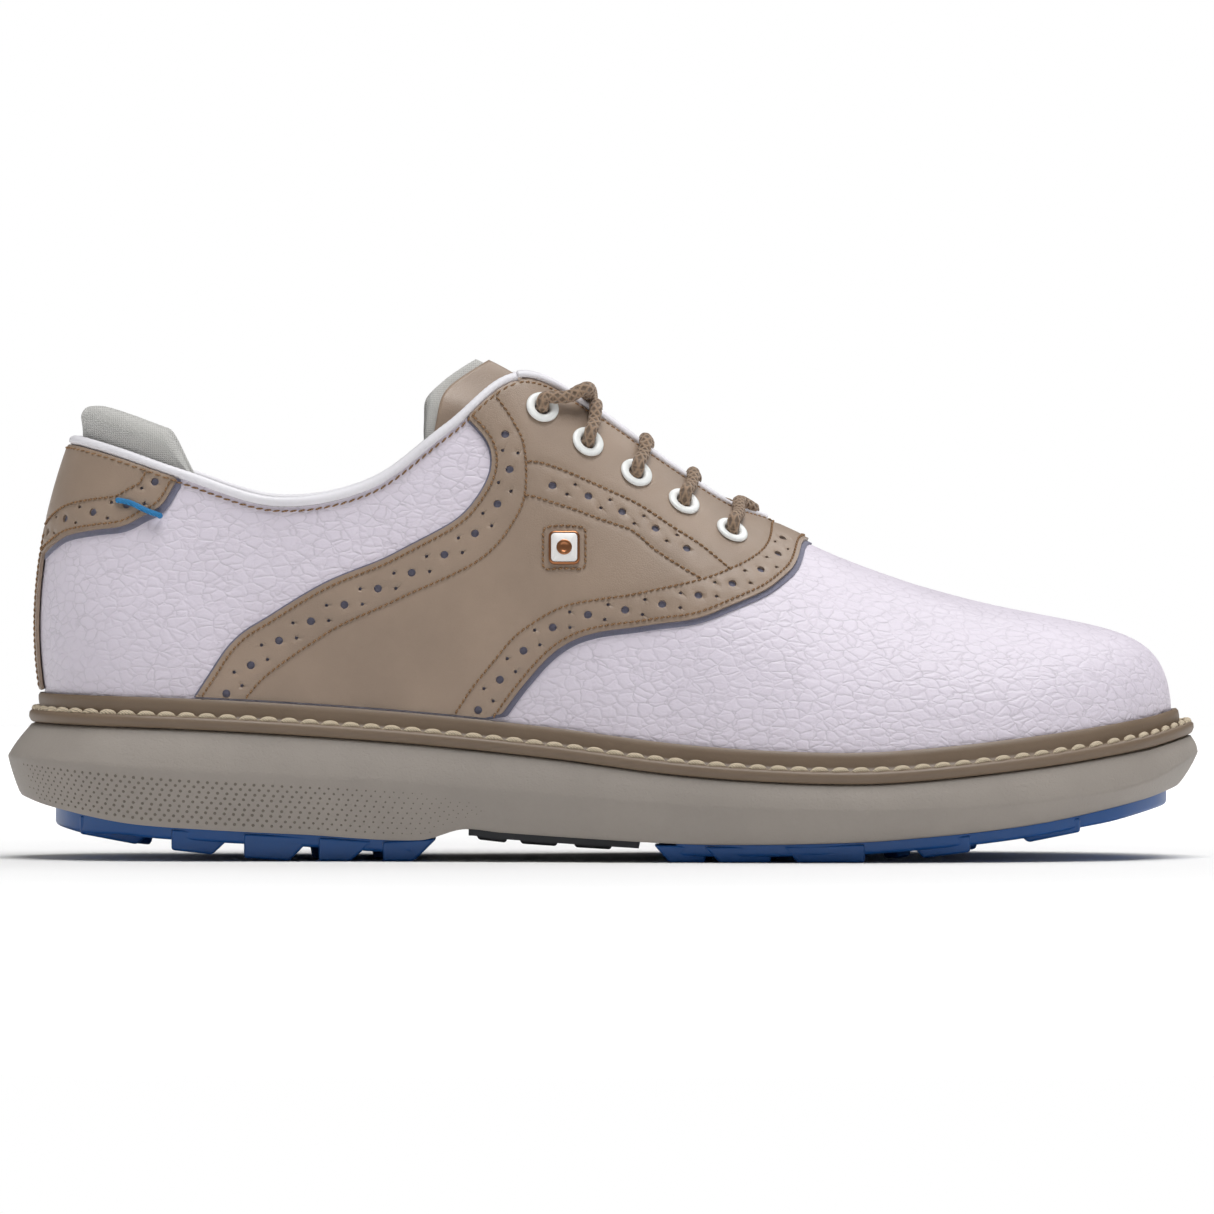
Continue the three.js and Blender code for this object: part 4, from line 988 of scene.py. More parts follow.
def outsole(name, start, end, lugs, slope, xs, ys):
    node = f"outsole_{name}"
    plate_levels = [(fixed(-1), above(midsole_bottom, -0.2)), (fixed(-1), above(plate_bottom, 0.9)),
                    (fixed(-1.3), above(plate_bottom, 0.3)), (fixed(-2), plate_bottom)]
    finish_piece(slab(f"{node}_plate", start, end, 80, plate_levels), BLUE, "blue_tpu", node)
    blocks = [lug(back, front, slope, side) for back, front in lugs for _, side in SIDES]
    blocks += [nub(x, y + (i % 2) * 0.5 * (ys[1] - ys[0])) for i, x in enumerate(xs) for y in ys]
    boxes(f"{node}_lugs", blocks, BLUE, "blue_tpu", 0.7, node)


def arch():
    # The bridge and the bars wear the dark colour that is partly painted shade for the deep shade under the arch.
    levels = [(fixed(-5), above(midsole_bottom, -0.2)), (fixed(-5), above(midsole_bottom, -1.9))]
    finish_piece(slab("arch_bridge", 5.95, 7.85, 30, levels), ARCH_DARK_AND_SHADE, "dark_tpu", "arch_plate")
    root, tip = above(midsole_bottom, -0.8), above(midsole_bottom, -3)
    bars = [[[(back - 1, y, root(back)), (front + 1, y, root(front)), (front, y, tip(front)),
              (back, y, tip(back))] for y in (-26, 24)]
            for back, front in ((-32, -25), (-20.9, -12), (-7, 2))]
    boxes("arch_bars", bars, ARCH_DARK_AND_SHADE, "dark_tpu", 0.6, "arch_plate")


WELT_GROW = 5.4
RAND_OUT = 2.1
# The ledge with its stitch channel, as steps out from WELT_GROW and heights; then the rand, as
# heights and steps.
LEDGE_PROFILE = [(-0.5, 0.3), (0, 0.6), (0.5, 1.6), (0.4, 2.7), (0, 3.25), (-0.6, 3.5), (-0.8, 3.25),
                 (-1.6, 3.1), (-2.0, 3.4)]
RAND_PROFILE = [(3.9, 0.25), (4.6, 0), (6.6, -0.1), (7.6, -0.3), (8.2, -0.8), (8.1, -1.4)]


def welt():
    """The welt: a rounded ledge with a stitch channel, and the rand that stands up against the upper."""
    r = np.linspace(0, ROUND, 620, endpoint=False)

    def ledge(grow, rise):
        plan, _ = sole_line(r, np.full_like(r, grow))
        return np.column_stack([plan, midsole_top(plan[:, 0]) + rise])

    def rand(rise, out):
        return upper(r, above_sole(r, rise), np.full_like(r, out))

    profile = [rand(0.6, 0.6)] + [ledge(WELT_GROW + step, rise) for step, rise in LEDGE_PROFILE]
    profile += [rand(rise, RAND_OUT + step) for rise, step in RAND_PROFILE]
    loops = np.stack(profile, 1)
    finish_piece(loft("welt", loops, closed=True), WELT, "welt_rubber", "welt")
    line = ledge(WELT_GROW - 1.15, 3.45)
    line = np.vstack([line, line[:1]])
    normals = np.tile([0.0, 0.0, 1.0], (len(line), 1))
    piece = beads("welt_stitching", line, normals, 4.9, 1.7, 1.5, 5.3, slant=0.16)
    finish_piece(piece, CREAM, "cream_thread", "welt_stitching")


# ------------------------------------------------------------------ the leather of the upper

UNDERLAY_TOP = 0.5
SADDLE_TOP = 1.5
# Stitches lie a little sunk in the overlay.
STITCH_TOP = SADDLE_TOP - 0.16
VAMP_SEAM = [(-50, 31), (-30, 50), (-4, 66), (22, 76), (42, 86.4)]


def top_edge(r, gap_collar=1.3, gap_throat=0.7):
    s = along_side(r)
    gap = np.where(s < THROAT_TOP, gap_collar, gap_throat)
    return np.where(s < THROAT_END - 0.08, below_top(r, gap), 1.0)


def along_line(line):
    """A line of places as a function of v from 0 to 1."""
    at = np.linspace(0, 1, len(line))
    return lambda v: (np.interp(v, at, line[:, 0]), np.interp(v, at, line[:, 1]))


def leather_map(first, second):
    def place(u, v):
        r0, t0 = first(v)
        r1, t1 = second(v)
        r = r0 + (r1 - r0) * u
        return r, np.minimum(t0 + (t1 - t0) * u, top_edge(r))
    return place


def on_upper(place):
    return lambda u, v, depth: upper(*place(u, v), np.full(np.shape(u), float(depth)))


def white_leather():
    seam = along_line(drawn(LATERAL, VAMP_SEAM))

    def seam_on(side):
        def place(v):
            s, t = seam(v)
            return (s if side == LATERAL else ROUND - s), np.where(v == 1, 1.0, t)
        return place

    def toe(v):
        return np.full_like(v, TOE), v

    left = leather_map(seam_on(LATERAL), toe)
    right = leather_map(toe, seam_on(MEDIAL))

    def vamp(u, v):
        first, second = left(np.minimum(2 * u, 1), v), right(np.maximum(2 * u - 1, 0), v)
        return tuple(np.where(u < 0.5, a, b) for a, b in zip(first, second))

    piece = grid_shell("vamp", on_upper(vamp), 260, 90, (-1.2, 0))
    finish_piece(piece, WHITE, "white_leather", "vamp")
    for name, side in SIDES:
        def heel(v, side=side):
            return np.full_like(v, 0.02 if side == LATERAL else ROUND - 0.02), v
        ends = (heel, seam_on(side)) if side == LATERAL else (seam_on(side), heel)
        piece = grid_shell(f"quarter_{name}", on_upper(leather_map(*ends)), 220, 90, (-1.2, 0))
        finish_piece(piece, WHITE, "white_leather", f"quarter_{name}")


SADDLE_REAR = [(-106, 40), (-101.1, 47.6), (-95.1, 56.1), (-87.4, 61.7), (-70.1, 71.9), (-53, 79.1),
               (-38.7, 86.8), (-32.1, 93.4), (-28.7, 100.5), (-29.6, 107.5), (-37, 116)]
SADDLE_FRONT = [(-29, 33.5), (-22.7, 42.3), (-15.5, 50.9), (-9, 56.1), (-0.7, 59), (12.5, 60.8), (25.7, 62.8),
                (38.8, 68), (45.5, 72), (50, 77.3), (53.3, 82.6)]
REAR_STITCH = [(-93, 40.5), (-86.6, 47.6), (-74.7, 56.1), (-65.1, 61.7), (-51.9, 67.6), (-38.7, 73.5),
               (-28.9, 79.5), (-23.5, 86.1), (-20, 94), (-20.2, 105.9), (-23, 112.5), (-27.6, 119)]
FRONT_STITCH = [(-38.5, 37), (-32.7, 45.5), (-24, 56.1), (-17, 61.7), (-9, 65.7), (-0.7, 67.2), (12.5, 69.3),
                (25.7, 72.1), (33.6, 75), (40.1, 78.6), (43.5, 85.5)]
STRIP_UPPER = [(-19.6, 102.4), (-12.4, 100.9), (-5.7, 98), (0.8, 95), (9.4, 90.8), (17.4, 85.4), (24.6, 80.8),
               (32.3, 74.6)]
STRIP_LOWER = [(-20.2, 93.8), (-12.4, 91.8), (-2.5, 88.2), (7.2, 84.6), (14, 79.1), (25.6, 71.9)]
STRIP_MIDDLE = [(-14, 96.3), (-11, 96), (-0.7, 92), (8.9, 87.4), (18.4, 82), (27.2, 75.5)]
EYELETS = [(-16, 115.9), (-4.5, 106.9), (8, 98.8), (20.2, 91.3), (32.6, 83.8)]
BIG_HOLE, SMALL_HOLE = 1.05, 0.45
HOLE_SPACING = 9.6
EDGE_STITCH = 1.3


def in_from(line, distance):
    """A line of places moved across the surface; positive is to its left, seen from outside."""
    points = leather_face(*line.T)
    normals = upper_normal(*line.T)
    ahead = np.gradient(points, axis=0)
    left = np.cross(normals, ahead)
    left /= np.linalg.norm(left, axis=1, keepdims=True)
    return np.array([nearest_place(p, place) for p, place in zip(points + left * distance, line)])


def nearest_place(point, place):
    """The place whose point on the leather lies nearest to a point, starting from a place close by."""
    place = np.array(place, float)
    for _ in range(3):
        slopes = np.stack(slopes_at(place), 1)
        move, *_ = np.linalg.lstsq(slopes, point - leather_face(*place), rcond=None)
        place = place + np.clip(move, -0.3, 0.3)
    return place


def hole_row(middle, first=4.0, across=1.9):
    """Large holes along a line of places, with a slanted pair of small ones between them."""
    points = leather_face(*middle.T)
    length = lengths_along(points)
    holes = []
    for k in range(int((length[-1] - 2 * first) / HOLE_SPACING) + 1):
        at = first + k * HOLE_SPACING
        holes.append((tuple(values_at([at], length, middle)[0]), BIG_HOLE))
        if at + HOLE_SPACING > length[-1] - first:
            continue
        for lean in (-1, 1):
            there = at + HOLE_SPACING / 2 + 0.6 * lean
            pair = values_at([there, there + 0.5], length, middle)
            holes.append((tuple(in_from(pair, across * lean)[0]), SMALL_HOLE))
    return holes


def mean_line(first, second, count=60):
    """The line half-way between two lines of places."""
    at = np.linspace(0, 1, count)
    a, b = (np.stack(along_line(line)(at), 1) for line in (first, second))
    return (a + b) / 2


def sew(name, lines, raised=STITCH_TOP, pitch=1.6, width=0.55):
    """Stitches along several lines of places, joined in one piece."""
    pieces = []
    for i, line in enumerate(lines):
        path, normals = upper(*line.T, raised), upper_normal(*line.T)
        pieces.append(beads(f"{name}_{i}", path, normals, pitch * 0.86, width, width, pitch, slant=0.18))
    joined = pieces[0]
    with bpy.context.temp_override(active_object=joined, selected_editable_objects=pieces):
        bpy.ops.object.join()
    joined.name = name
    finish_piece(joined, TAN_THREAD, "tan_leather")


# How far the overlays stay below the top line, at the collar and at the throat, and apart on the ridge.
COLLAR_GAP, THROAT_GAP, RIDGE_GAP = 1.5, 0.9, 0.15
RAND_HEIGHT = 8.4


def saddle_outline(rear, front, low_rise):
    """The closed outline of a saddle: up the rear line, along the throat, and down the front line."""
    bottom = (rear[0][0], front[0][0])
    r = np.linspace(*bottom, 60)
    low = np.column_stack([r, above_sole(r, low_rise)])

    def above_low(line):
        return line[line[:, 1] > above_sole(line[:, 0], low_rise) + 0.01]

    def below_limit(line, limit):
        beyond = np.flatnonzero(line[:, 1] > limit)
        return line[:beyond[0]] if len(beyond) else line

    rear_up = above_low(rear)
    rear_up = below_limit(rear_up, top_edge(rear_up[:, 0], COLLAR_GAP, THROAT_GAP) - 0.008)
    front_up = above_low(front)
    front_down = below_limit(front_up, below_top(front_up[:, 0], RIDGE_GAP) - 0.006)[::-1]
    tops = np.linspace(rear_up[-1][0], front_down[0][0], 120)
    throat = np.column_stack([tops, top_edge(tops, COLLAR_GAP, THROAT_GAP)])
    ridge = along_side(tops) >= THROAT_END - 0.08
    throat[ridge, 1] = below_top(tops[ridge], RIDGE_GAP)
    outline = np.vstack([rear_up, throat, front_down, low[::-1][1:-1]])
    return evenly_closed(outline, 0.8)


def evenly_closed(outline, step):
    return evenly(np.vstack([outline, outline[:1]]) * CELL, step)[:-1] / CELL


def saddle(name, side):
    rear, front = drawn(side, SADDLE_REAR), drawn(side, SADDLE_FRONT)
    inward = -side
    rear_stitch, front_stitch = drawn(side, REAR_STITCH), drawn(side, FRONT_STITCH)
    rear_edge_stitch = in_from(rear, inward * -EDGE_STITCH)
    front_edge_stitch = in_from(front, inward * EDGE_STITCH)
    lines = [rear_stitch, front_stitch, rear_edge_stitch, front_edge_stitch]
    lines += [drawn(side, points) for points in (STRIP_UPPER, STRIP_LOWER)]
    lines = [clipped(line) for line in lines]
    holes = hole_row(mean_line(rear_edge_stitch, rear_stitch))
    holes += hole_row(mean_line(front_edge_stitch, front_stitch))
    holes += hole_row(drawn(side, STRIP_MIDDLE), 1.0, 1.6)
    holes += [(tuple(locate(side, *at)), 2.3) for at in EYELETS]
    if side == LATERAL:
        lines.append(badge_frame(5.6))
    outline = saddle_outline(rear, front, RAND_HEIGHT + 0.3)
    finish_piece(overlay(f"saddle_{name}", outline, holes, lines), TAN, "tan_leather", f"saddle_{name}")
    sew(f"saddle_stitches_{name}", lines)
    rear_under = in_from(rear, inward * 0.5)
    front_under = in_from(front, inward * -1.4)
    outline = saddle_outline(rear_under, front_under, RAND_HEIGHT + 0.1)
    eyelet_holes = [(tuple(locate(side, *at)), 2.6) for at in EYELETS]
    underlay(f"saddle_underlay_{name}", outline, eyelet_holes)


def clipped(line, margin=0.75):
    """The part of a line that lies on the visible leather, clear of the rand and the top line."""
    low = above_sole(line[:, 0], RAND_HEIGHT + 0.3)
    high = top_edge(line[:, 0], COLLAR_GAP + margin, THROAT_GAP + margin)
    return line[(line[:, 1] > low) & (line[:, 1] < high)]


BADGE_AT = (-9.9, 80.3)
BADGE_SIZE = (8.0, 8.8)


def rounded_square(width, height, corner, steps=6):
    points = []
    for i, (sx, sy) in enumerate(((1, 1), (-1, 1), (-1, -1), (1, -1))):
        for turn in np.linspace(0, 90, steps) + 90 * i:
            angle = math.radians(turn)
            points.append((sx * (width / 2 - corner) + corner * math.cos(angle),
                           sy * (height / 2 - corner) + corner * math.sin(angle)))
    return np.array(points)


def badge_axes():
    place = locate(LATERAL, *BADGE_AT)
    out = upper_normal(*place)
    across = -np.cross(out, UP)
    across /= np.linalg.norm(across)
    return place, out, across, np.cross(out, across) * -1


def badge_frame(half):
    """The square line of stitches round the badge, as places."""
    place, _, across, rise = badge_axes()
    centre = leather_face(*place)
    outline = rounded_square(2 * half - 0.4, 2 * half, 1.4, 4)
    outline = np.vstack([outline, outline[:1]])
    line = [nearest_place(centre + across * x + rise * y, place) for x, y in outline]
    return evenly(np.array(line) * CELL, 0.5) / CELL


def badge():
    """A plain rounded badge: a copper plate with a raised white field that carries a small round boss."""
    place, out, across, rise = badge_axes()
    base = upper(*place, SADDLE_TOP)

    def loop(width, height, corner, lift):
        return [base + across * x + rise * y + out * lift for x, y in rounded_square(width, height, corner)]

    width, height = BADGE_SIZE
    plate = [loop(width - less, height - less, corner, lift) for less, corner, lift in
             ((0, 1.5, 0.02), (0, 1.5, 0.6), (0.5, 1.3, 0.85), (1.0, 1.1, 0.85), (1.1, 1.1, 0.6))]
    finish_piece(loft("badge_plate", plate), COPPER, "copper", "side_badge")
    field = [loop(width - less, height - less, corner, lift) for less, corner, lift in
             ((1.3, 1.0, 0.3), (1.3, 1.0, 0.85), (1.7, 0.9, 1.0))]
    field.append(loop(0.4, 0.4, 0.1, 1.05))
    finish_piece(loft("badge_field", field), BADGE_FACE, "eyelet_white", "side_badge")
    turn = np.linspace(0, 2 * np.pi, 28, endpoint=False)

    def ring(radius, lift):
        return [base + across * radius * math.cos(a) + rise * radius * math.sin(a) + out * lift for a in turn]

    boss = [ring(radius, lift) for radius, lift in
            ((2.0, 0.9), (2.0, 1.15), (1.75, 1.25), (1.3, 1.25), (1.1, 1.12), (0.3, 1.12))]
    finish_piece(loft("badge_boss", boss), COPPER, "copper", "side_badge")


HEEL_EDGE = [(-146, 76.6), (-141.9, 80.4), (-137.8, 83.3), (-130.8, 84.9), (-123.8, 85.9), (-118.6, 88.4),
             (-113.5, 91.5), (-109.7, 97.5)]
PATCH_END = 2.86
SADDLE_START = 6.28
STRIP_HALF = 0.28


def heel_line(drop=0.0):
    """The lower edge of the heel patch round the heel, from the lateral side to the medial, as places."""
    line = drawn(LATERAL, HEEL_EDGE)
    line = line[(line[:, 0] > STRIP_HALF)]
    line = line - np.array([0, drop])
    return np.vstack([line[::-1], line * (-1, 1)])


def heel_patch():
    edge = heel_line()
    ends = top_edge(edge[:, 0], COLLAR_GAP) - 0.006
    edge = edge[edge[:, 1] < ends]
    # The patch narrows to a strip that goes down the back of the heel.
    middle = len(edge) // 2
    low = height_on(np.array([STRIP_HALF, -STRIP_HALF]), midsole_top(-143.0) + 8.8)
    strip = np.array([(STRIP_HALF, low[0]), (-STRIP_HALF, low[1])])
    tops = np.linspace(edge[-1, 0], edge[0, 0], 90)
    crown = np.column_stack([tops, top_edge(tops, COLLAR_GAP)])
    outline = evenly_closed(np.vstack([edge[:middle], strip, edge[middle:], crown]), 0.8)
    outer = in_from(heel_line(), -1.2)
    inner = in_from(heel_line(), -8.0)
    holes = hole_row(mean_line(outer, inner, 80), 3.0, 2.0)
    lines = [clipped(outer), clipped(inner)]
    for sign in (-1, 1):
        t = np.linspace(low[0] + 0.01, 0.66, 40)
        lines.append(np.column_stack([np.full_like(t, sign * (STRIP_HALF - 0.08)), t]))
    piece = overlay("heel_patch", outline, holes, lines)
    finish_piece(piece, TAN, "tan_leather", "heel_patch", "heel_strip")
    sew("heel_stitches", lines)
    under = heel_line(0.018)
    under[:, 0] *= 1.02
    under = under[under[:, 1] < top_edge(under[:, 0], COLLAR_GAP) - 0.004]
    tops = np.linspace(under[-1, 0], under[0, 0], 60)
    crown = np.column_stack([tops, top_edge(tops, COLLAR_GAP)])
    underlay("heel_patch_underlay", evenly_closed(np.vstack([under, crown]), 1.2))


TACK = [(-124.2, 92.3), (-121, 91.6), (-117.3, 89.8), (-113.8, 88.5)]


def tack_thread():
    line = drawn(LATERAL, TACK, 0.4)
    path = upper(*line.T, SADDLE_TOP + 0.45)
    ends = upper(*line[[0, -1]].T, SADDLE_TOP - 0.5)
    path = np.vstack([ends[:1], path, ends[1:]])

    def strands(turn, length):
        return 0.12 * np.abs(np.cos(1.5 * (turn + 2.6 * length)))

    piece = tube("heel_tack_thread", spline(path, 0.2), 0.62, 16, strands)
    finish_piece(piece, BLUE_THREAD, "blue_tpu", "heel_tack_thread")


# ------------------------------------------------------------------ collar, piping, tongue


def roped(pitch, depth):
    """Relief of a wrapped roll: soft slanted turns."""
    return lambda turn, length: depth * np.sin(turn + 2 * np.pi * length / pitch) ** 2


def piping():
    r = np.linspace(-THROAT_TOP + 0.02, THROAT_TOP - 0.02, 700)
    path = upper(r, 1.0, 0.25)
    piece = tube("collar_piping", path, 1.2, 14, roped(3.2, 0.07))
    finish_piece(piece, PIPING, "piping_white", "collar_piping")
    r = np.linspace(-THROAT_TOP, THROAT_TOP, 900)
    on_tan = (along_side(r) < PATCH_END + 0.03) | (along_side(r) > SADDLE_START)
    raised = np.where(on_tan, STITCH_TOP, 0.2)
    sew("collar_stitches", [np.column_stack([r, below_top(r, 2.4)])], raised, 2.2, 0.5)
    for name, side in SIDES:
        s = np.linspace(THROAT_TOP - 0.02, THROAT_END - 0.02, 220)
        path = upper(round_of(side, s), 1.0, SADDLE_TOP + 0.1)
        piece = tube(f"throat_piping_{name}", path, 0.8, 12, roped(2.4, 0.04))
        finish_piece(piece, PIPING, "piping_white", f"throat_piping_{name}")
        line = np.column_stack([round_of(side, s), below_top(s, 2.2)])
        sew(f"throat_stitches_{name}", [line])


HEEL_RISE = 11.0
COLLAR_DEPTH = 20.0
COLLAR_END = 5.6


def collar():
    """The padded collar: one soft knitted roll inside the top line, high and full round the heel."""
    r = np.linspace(-COLLAR_END, COLLAR_END, 420)
    rise = HEEL_RISE * smoothstep(3.18 - abs(r), 0, 0.5)
    fade = np.clip((COLLAR_END - abs(r)) / 2, 0.35, 1)

    def corner(depth, height):
        sunk = np.isscalar(height) and height < 0
        level = below_top(r, -height) if sunk else np.ones_like(r)
        base = upper(r, level, -6.35 - depth * fade)
        return base + UP * np.maximum(np.broadcast_to(height, r.shape), 0)[:, None]

    bulge = rise / HEEL_RISE
    raised = [(0, -COLLAR_DEPTH), (-2.4, -9.0), (-2.8, -4.0), (-2.8 - 1.4 * bulge, rise * 0.3),
              (-2.6 - 2.0 * bulge, rise * 0.66), (-1.2 - 1.4 * bulge, rise * 0.92), (1.2, rise),
              (3.6, rise * 0.9), (5.4, rise * 0.55), (6.1, -4.0), (5.4, -9.0), (4.2, -COLLAR_DEPTH * 0.7),
              (1.6, -COLLAR_DEPTH - 2)]
    ring = np.stack([corner(depth, height) for depth, height in raised], 1)
    smooth = closed_spline(ring, 5)
    piece = loft("collar", smooth)
    finish_piece(piece, KNIT, "collar_knit", "collar_foam", "collar_lining")


def closed_spline(rings, steps):
    """Rounds every ring of corners, with a few points between each two corners."""
    a, b, c, d = (np.roll(rings, shift, axis=1) for shift in (1, 0, -1, -2))
    parts = [bend_between(a, b, c, d, k) for k in np.linspace(0, 1, steps, endpoint=False)]
    count, size = rings.shape[:2]
    return np.stack(parts, 2).reshape(count, size * steps, 3)


TONGUE_MIDDLE = [(51, 73.5), (38, 81), (20, 91), (0.5, 105.5), (-16.5, 120.5), (-32, 130.2)]
TONGUE_EDGE = (11.7, 5.9)
# At the free top the edges sweep back along the collar: x, half width, z, from the edge inwards.
TONGUE_WING = [(-46, 17.5, 104), (-45.5, 16, 113), (-42, 11.5, 122.5)]
SWEEP_START = 0.5
TONGUE_DEPTH = -11.25
TONGUE_RIM = 3.0
NORMAL_BLUR = 40


def catmull(points, at):
    """A smooth line through points (along the first axis), at a share from 0 to 1."""
    points = np.asarray(points, float)
    count = len(points) - 1
    at = np.asarray(at, float)
    i = np.clip(np.floor(at * count).astype(int), 0, count - 1)
    spread = (-1,) + (1,) * (points.ndim - 1)
    k = (at * count - i).reshape(spread)
    b, c = points[i], points[i + 1]
    a = np.where((i > 0).reshape(spread), points[np.maximum(i - 1, 0)], 2 * b - c)
    d = np.where((i < count - 1).reshape(spread), points[np.minimum(i + 2, count)], 2 * c - b)
    return bend_between(a, b, c, d, k)


def tongue_grid(columns, rows):
    """The outer face of the tongue as a grid of points, with the way out at each."""
    v = np.linspace(0, 1, rows + 1)
    s = TONGUE_EDGE[0] + (TONGUE_EDGE[1] - TONGUE_EDGE[0]) * v
    middle = catmull(TONGUE_MIDDLE, v)
    sweep = smoothstep(v, SWEEP_START, 1)[:, None]

    def half(side):
        levels = zip((0.7, 0.8, 0.89), TONGUE_WING)
        return [upper(round_of(side, s), t, TONGUE_DEPTH) * (1 - sweep)
                + np.array([x, side * width, z]) * sweep for t, (x, width, z) in levels]

    ridge = np.column_stack([middle[:, 0], np.zeros_like(v), middle[:, 1]])
    across = [*half(LATERAL), ridge, *half(MEDIAL)[::-1]]
    grid = catmull(np.stack(across), np.linspace(0, 1, columns + 1))
    along = np.gradient(grid, axis=0)
    rise = np.gradient(grid, axis=1)
    normal = np.cross(along, rise)
    normal /= np.linalg.norm(normal, axis=2, keepdims=True)
    # The way out is evened over neighbouring points, so that the rim runs smoothly round the corner.
    for _ in range(NORMAL_BLUR):
        for axis in (0, 1):
            ends = np.pad(normal, [(1, 1) if a == axis else (0, 0) for a in range(3)], "edge")
            normal = (np.roll(ends, 1, axis) + 2 * ends + np.roll(ends, -1, axis)).take(
                range(1, ends.shape[axis] - 1), axis) / 4
    return grid, normal / np.linalg.norm(normal, axis=2, keepdims=True)


def shortened(line, start, end):
    """A line of points cut short by a distance at each end, with its points evenly spread."""
    length = lengths_along(line)
    return values_at(np.linspace(start, length[-1] - end, len(line)), length, line)


def tongue():
    columns, rows = 70, 120
    grid, normal = tongue_grid(columns, rows)
    u, v = np.meshgrid(np.linspace(0, 1, columns + 1), np.linspace(0, 1, rows + 1), indexing="ij")
    edge = np.minimum(np.minimum(u, 1 - u) * 60, (1 - v) * 110)
    swell = 1.0 - np.exp(-edge / 3.5)

    def inset(sheet, distance):
        """The sheet drawn in by the same distance, in millimetres, from its sides and its free top."""
        sheet = np.stack([shortened(sheet[:, j], distance, distance) for j in range(rows + 1)], 1)
        return np.stack([shortened(column, 0, distance) for column in sheet])

    def layer(name, depths, material, slot, *nodes, shrink=0.0):
        outer, inner = (grid + normal * depth[..., None] for depth in depths)
        outer, inner = (inset(sheet, shrink) for sheet in (outer, inner))
        corners = np.vstack([outer.reshape(-1, 3), inner.reshape(-1, 3)])
        piece = mesh_object(name, corners, shell_faces(*outer.shape[:2]), "tongue")
        weld(piece, 0.001)
        finish_piece(piece, material, slot, *nodes)
        return piece

    layer("tongue_face", (0.9 * swell - 0.5, np.full_like(u, -1.0)), TAN, "tan_leather", "tongue_face",
          shrink=TONGUE_RIM)
    cushion = layer("tongue_cushion", (np.full_like(u, -1.1) + 0.5 * swell - 0.4, -3.4 - 3.0 * swell), KNIT,
                    "collar_knit", "tongue_padding", "tongue_lining")


# ------------------------------------------------------------------ eyelets and lace

LACE_RADIUS = 1.6
FLANGE_TOP = SADDLE_TOP + 0.9


def eyelet_at(side, k):
    place = locate(side, *EYELETS[k])
    centre = leather_face(*place)
    out = upper_normal(*place)
    inward = leather_face(place[0], min(place[1] + 0.05, 1)) - centre
    return place, centre, out, inward / np.linalg.norm(inward)


def eyelet(name, side, k):
    _, centre, out, inward = eyelet_at(side, k)
    across = np.cross(out, inward)
    profile = [(1.95, -5.0), (2.3, -5.0), (2.3, SADDLE_TOP - 0.1), (4.2, SADDLE_TOP - 0.05),
               (4.35, SADDLE_TOP + 0.3), (4.2, FLANGE_TOP - 0.2), (3.8, FLANGE_TOP), (2.8, FLANGE_TOP),
               (2.3, FLANGE_TOP - 0.2), (2.0, FLANGE_TOP - 0.7)]
    turn = np.linspace(0, 2 * np.pi, 40, endpoint=False)
    loops = [[centre + (inward * math.cos(a) + across * math.sin(a)) * radius + out * height for a in turn]
             for radius, height in profile]
    piece = loft(f"eyelet_{name}_{k + 1}", loops, closed=True)
    finish_piece(piece, EYELET, "eyelet_white", f"eyelet_{name}_{k + 1}")


def up_through(side, k):
    """The route of the lace out through an eyelet and on to the edge of the throat."""
    place, centre, out, inward = eyelet_at(side, k)
    over = FLANGE_TOP + LACE_RADIUS + 0.1
    edge = leather_face(place[0], 1.0)
    edge_out = upper_normal(place[0], 0.97)
    # Outside, the strand goes straight up the shoe rather than along the rib; the top one reaches forward.
    ahead, lift = (8.8, 2.8) if k == 0 else (1.0, 0.0)
    over_rib = np.interp(EYELETS[k][0] + ahead, RIBS[THROAT_TOP:THROAT_END + 1, 3],
                         np.arange(THROAT_TOP, THROAT_END + 1))
    over_place = round_of(side, over_rib)
    over_edge = upper(over_place, 1.0, 3.1 + lift)
    part_way = (centre + out * (over - 0.2) + upper(over_place, 0.99, 3.4 + lift)) / 2
    return [
        edge + edge_out * -8.0 + inward * 1.5, upper(place[0], (place[1] + 1) / 2, -8.6),
        centre + out * -7.4 + inward * 1.6, centre + out * -5.2 + inward * 0.2, centre - out,
        centre + out * (FLANGE_TOP + 0.2) + inward * 0.1, centre + out * over + inward * 1.6, part_way,
        over_edge,
    ]


def crossing(row, height):
    low, high = EYELETS[math.floor(row)][0], EYELETS[math.ceil(row)][0]
    x = low + (high - low) * (row % 1) + 4
    route = catmull(TONGUE_MIDDLE, np.linspace(0, 1, 200))
    nearest = route[np.argmin(abs(route[:, 0] - x))]
    return np.array([nearest[0] + 0.56 * height, 0, nearest[1] + 0.83 * height])


def lace_half(side, height):
    def down(which, k):
        return up_through(which, k)[::-1]

    down_the_lining = [upper(round_of(side, s), t, -8.1)
                       for s, t in ((6.7, 0.8), (6.3, 0.64), (5.8, 0.48), (5.2, 0.34))]
    _, centre, out, inward = eyelet_at(side, 0)
    return [
        *down(side, 4), crossing(3.5, height), *up_through(-side, 3), crossing(2.5, height),
        *up_through(side, 2), crossing(1.5, height), *up_through(-side, 1), crossing(0.5, height),
        *down(side, 0)[:-3], centre + out * -7.2 - inward * 0.6, *down_the_lining,
        *(on_footbed(side, s) for s in (4.6, 4, 3.4, 2.8, 2.2)),
    ]


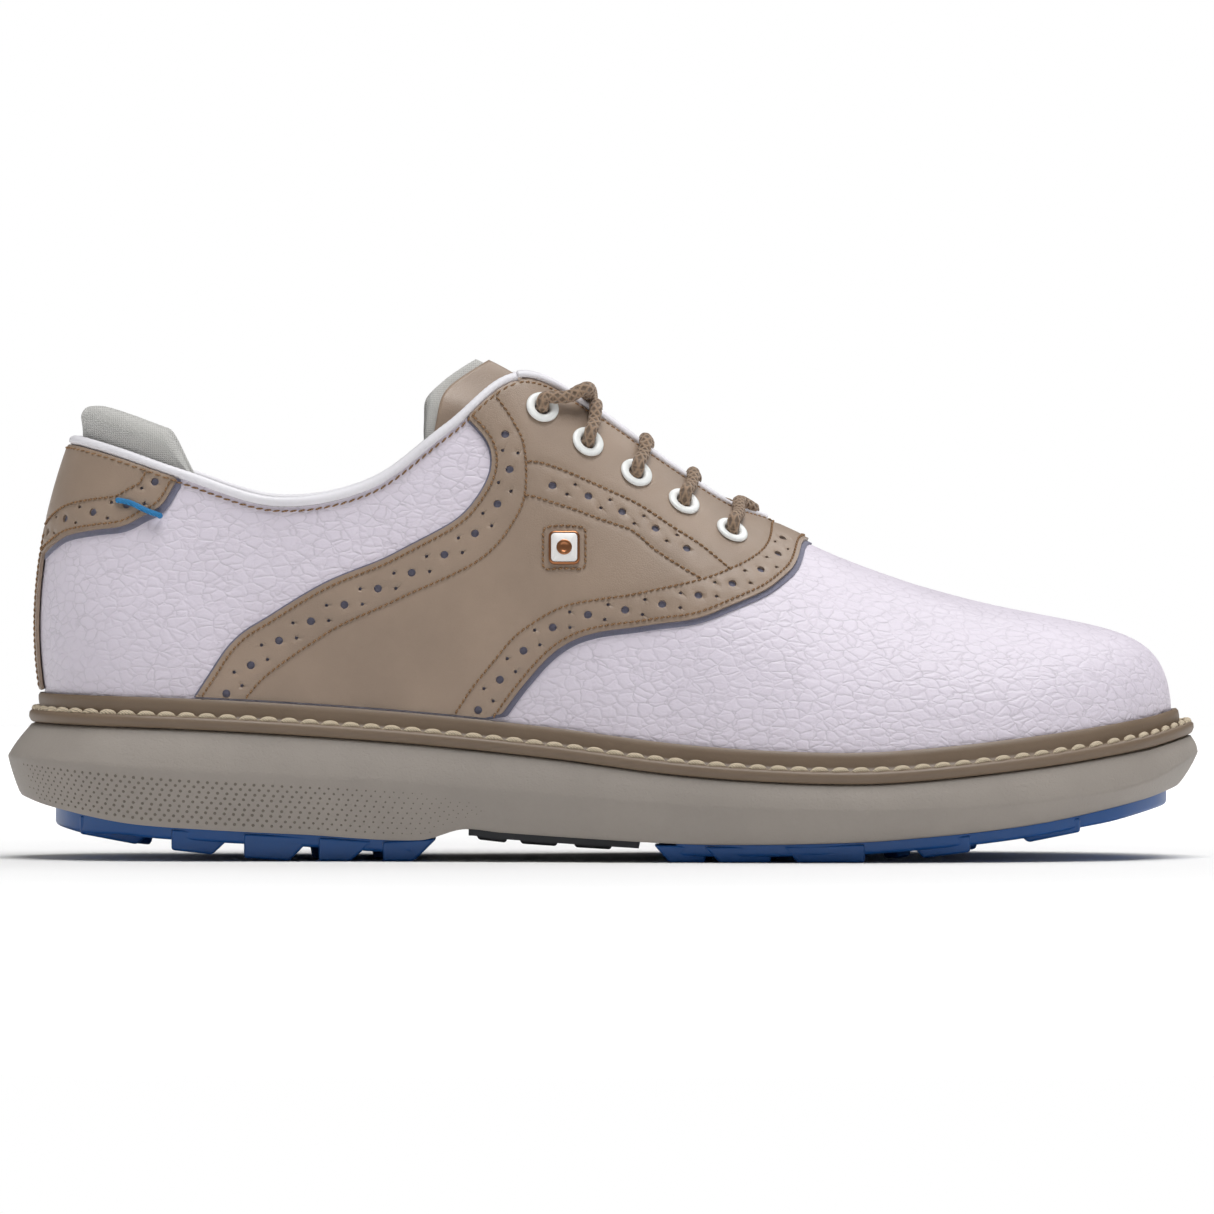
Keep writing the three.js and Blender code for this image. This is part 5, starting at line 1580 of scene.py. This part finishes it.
def on_footbed(side, s):
    plan, _ = sole_line(np.array([round_of(side, s)]), -11.2)
    x, y = plan[0]
    return np.array([x, y, midsole_top(x) + FOOTBED_RISE - 0.5 + LACE_RADIUS + 1])


def lace():
    low = LACE_RADIUS + 0.75
    high = low + 2 * LACE_RADIUS + 1.0
    points = [*lace_half(LATERAL, low)[::-1], crossing(3.8, high + 2), *lace_half(MEDIAL, high)]
    path = spline(points, 0.3)
    soft = np.ones(9) / 9
    for k in range(3):
        path[4:-4, k] = np.convolve(path[:, k], soft, mode="valid")

    def braid(turn, length):
        first = np.sin(BRAID_STRANDS * turn + 2 * np.pi * length / BRAID_PITCH)
        second = np.sin(BRAID_STRANDS * turn - 2 * np.pi * length / BRAID_PITCH)
        return 0.13 * np.maximum(first, second)

    piece = tube("lace", path, LACE_RADIUS - 0.04, 30, braid)
    finish_piece(piece, LACE, "lace_cord", "lace")
    for name, side in SIDES:
        tip = spline([on_footbed(side, s) for s in (2.15, 1.95, 1.7, 1.45)], 0.4)
        finish_piece(tube(f"aglet_{name}", tip, 1.4, 20), CREAM, "cream_thread", f"aglet_{name}")


# ------------------------------------------------------------------ kept CAD pieces

KEPT = {
    "forefoot_filler": FOAM, "insole_board": BOARD, "footbed": FOOTBED, "shank": STEEL, "heel_counter": BOARD,
    "toe_puff": BOARD, "eyelet_facing_lateral": BOARD, "eyelet_facing_medial": BOARD, "vamp_lining": LINING,
    "quarter_lining_lateral": LINING, "quarter_lining_medial": LINING,
}


def dress_kept():
    for name, material in KEPT.items():
        for slot in bpy.data.objects[name].material_slots:
            slot.material = material


# ------------------------------------------------------------------ the whole shoe

welt()
dot_field(*midsole())
outsole("heel", 0.1, 5.35, HEEL_LUGS, 6, (-120, -104, -88, -72, -56), (-8, 4))
outsole("forefoot", 8.3, 14.85, FOREFOOT_LUGS, -4, (25, 42, 59, 76, 93), (-24, -8, 8))
arch()
white_leather()
for side_name, which in SIDES:
    saddle(side_name, which)
    for number in range(len(EYELETS)):
        eyelet(side_name, which, number)
badge()
heel_patch()
tack_thread()
piping()
collar()
tongue()
lace()
dress_kept()
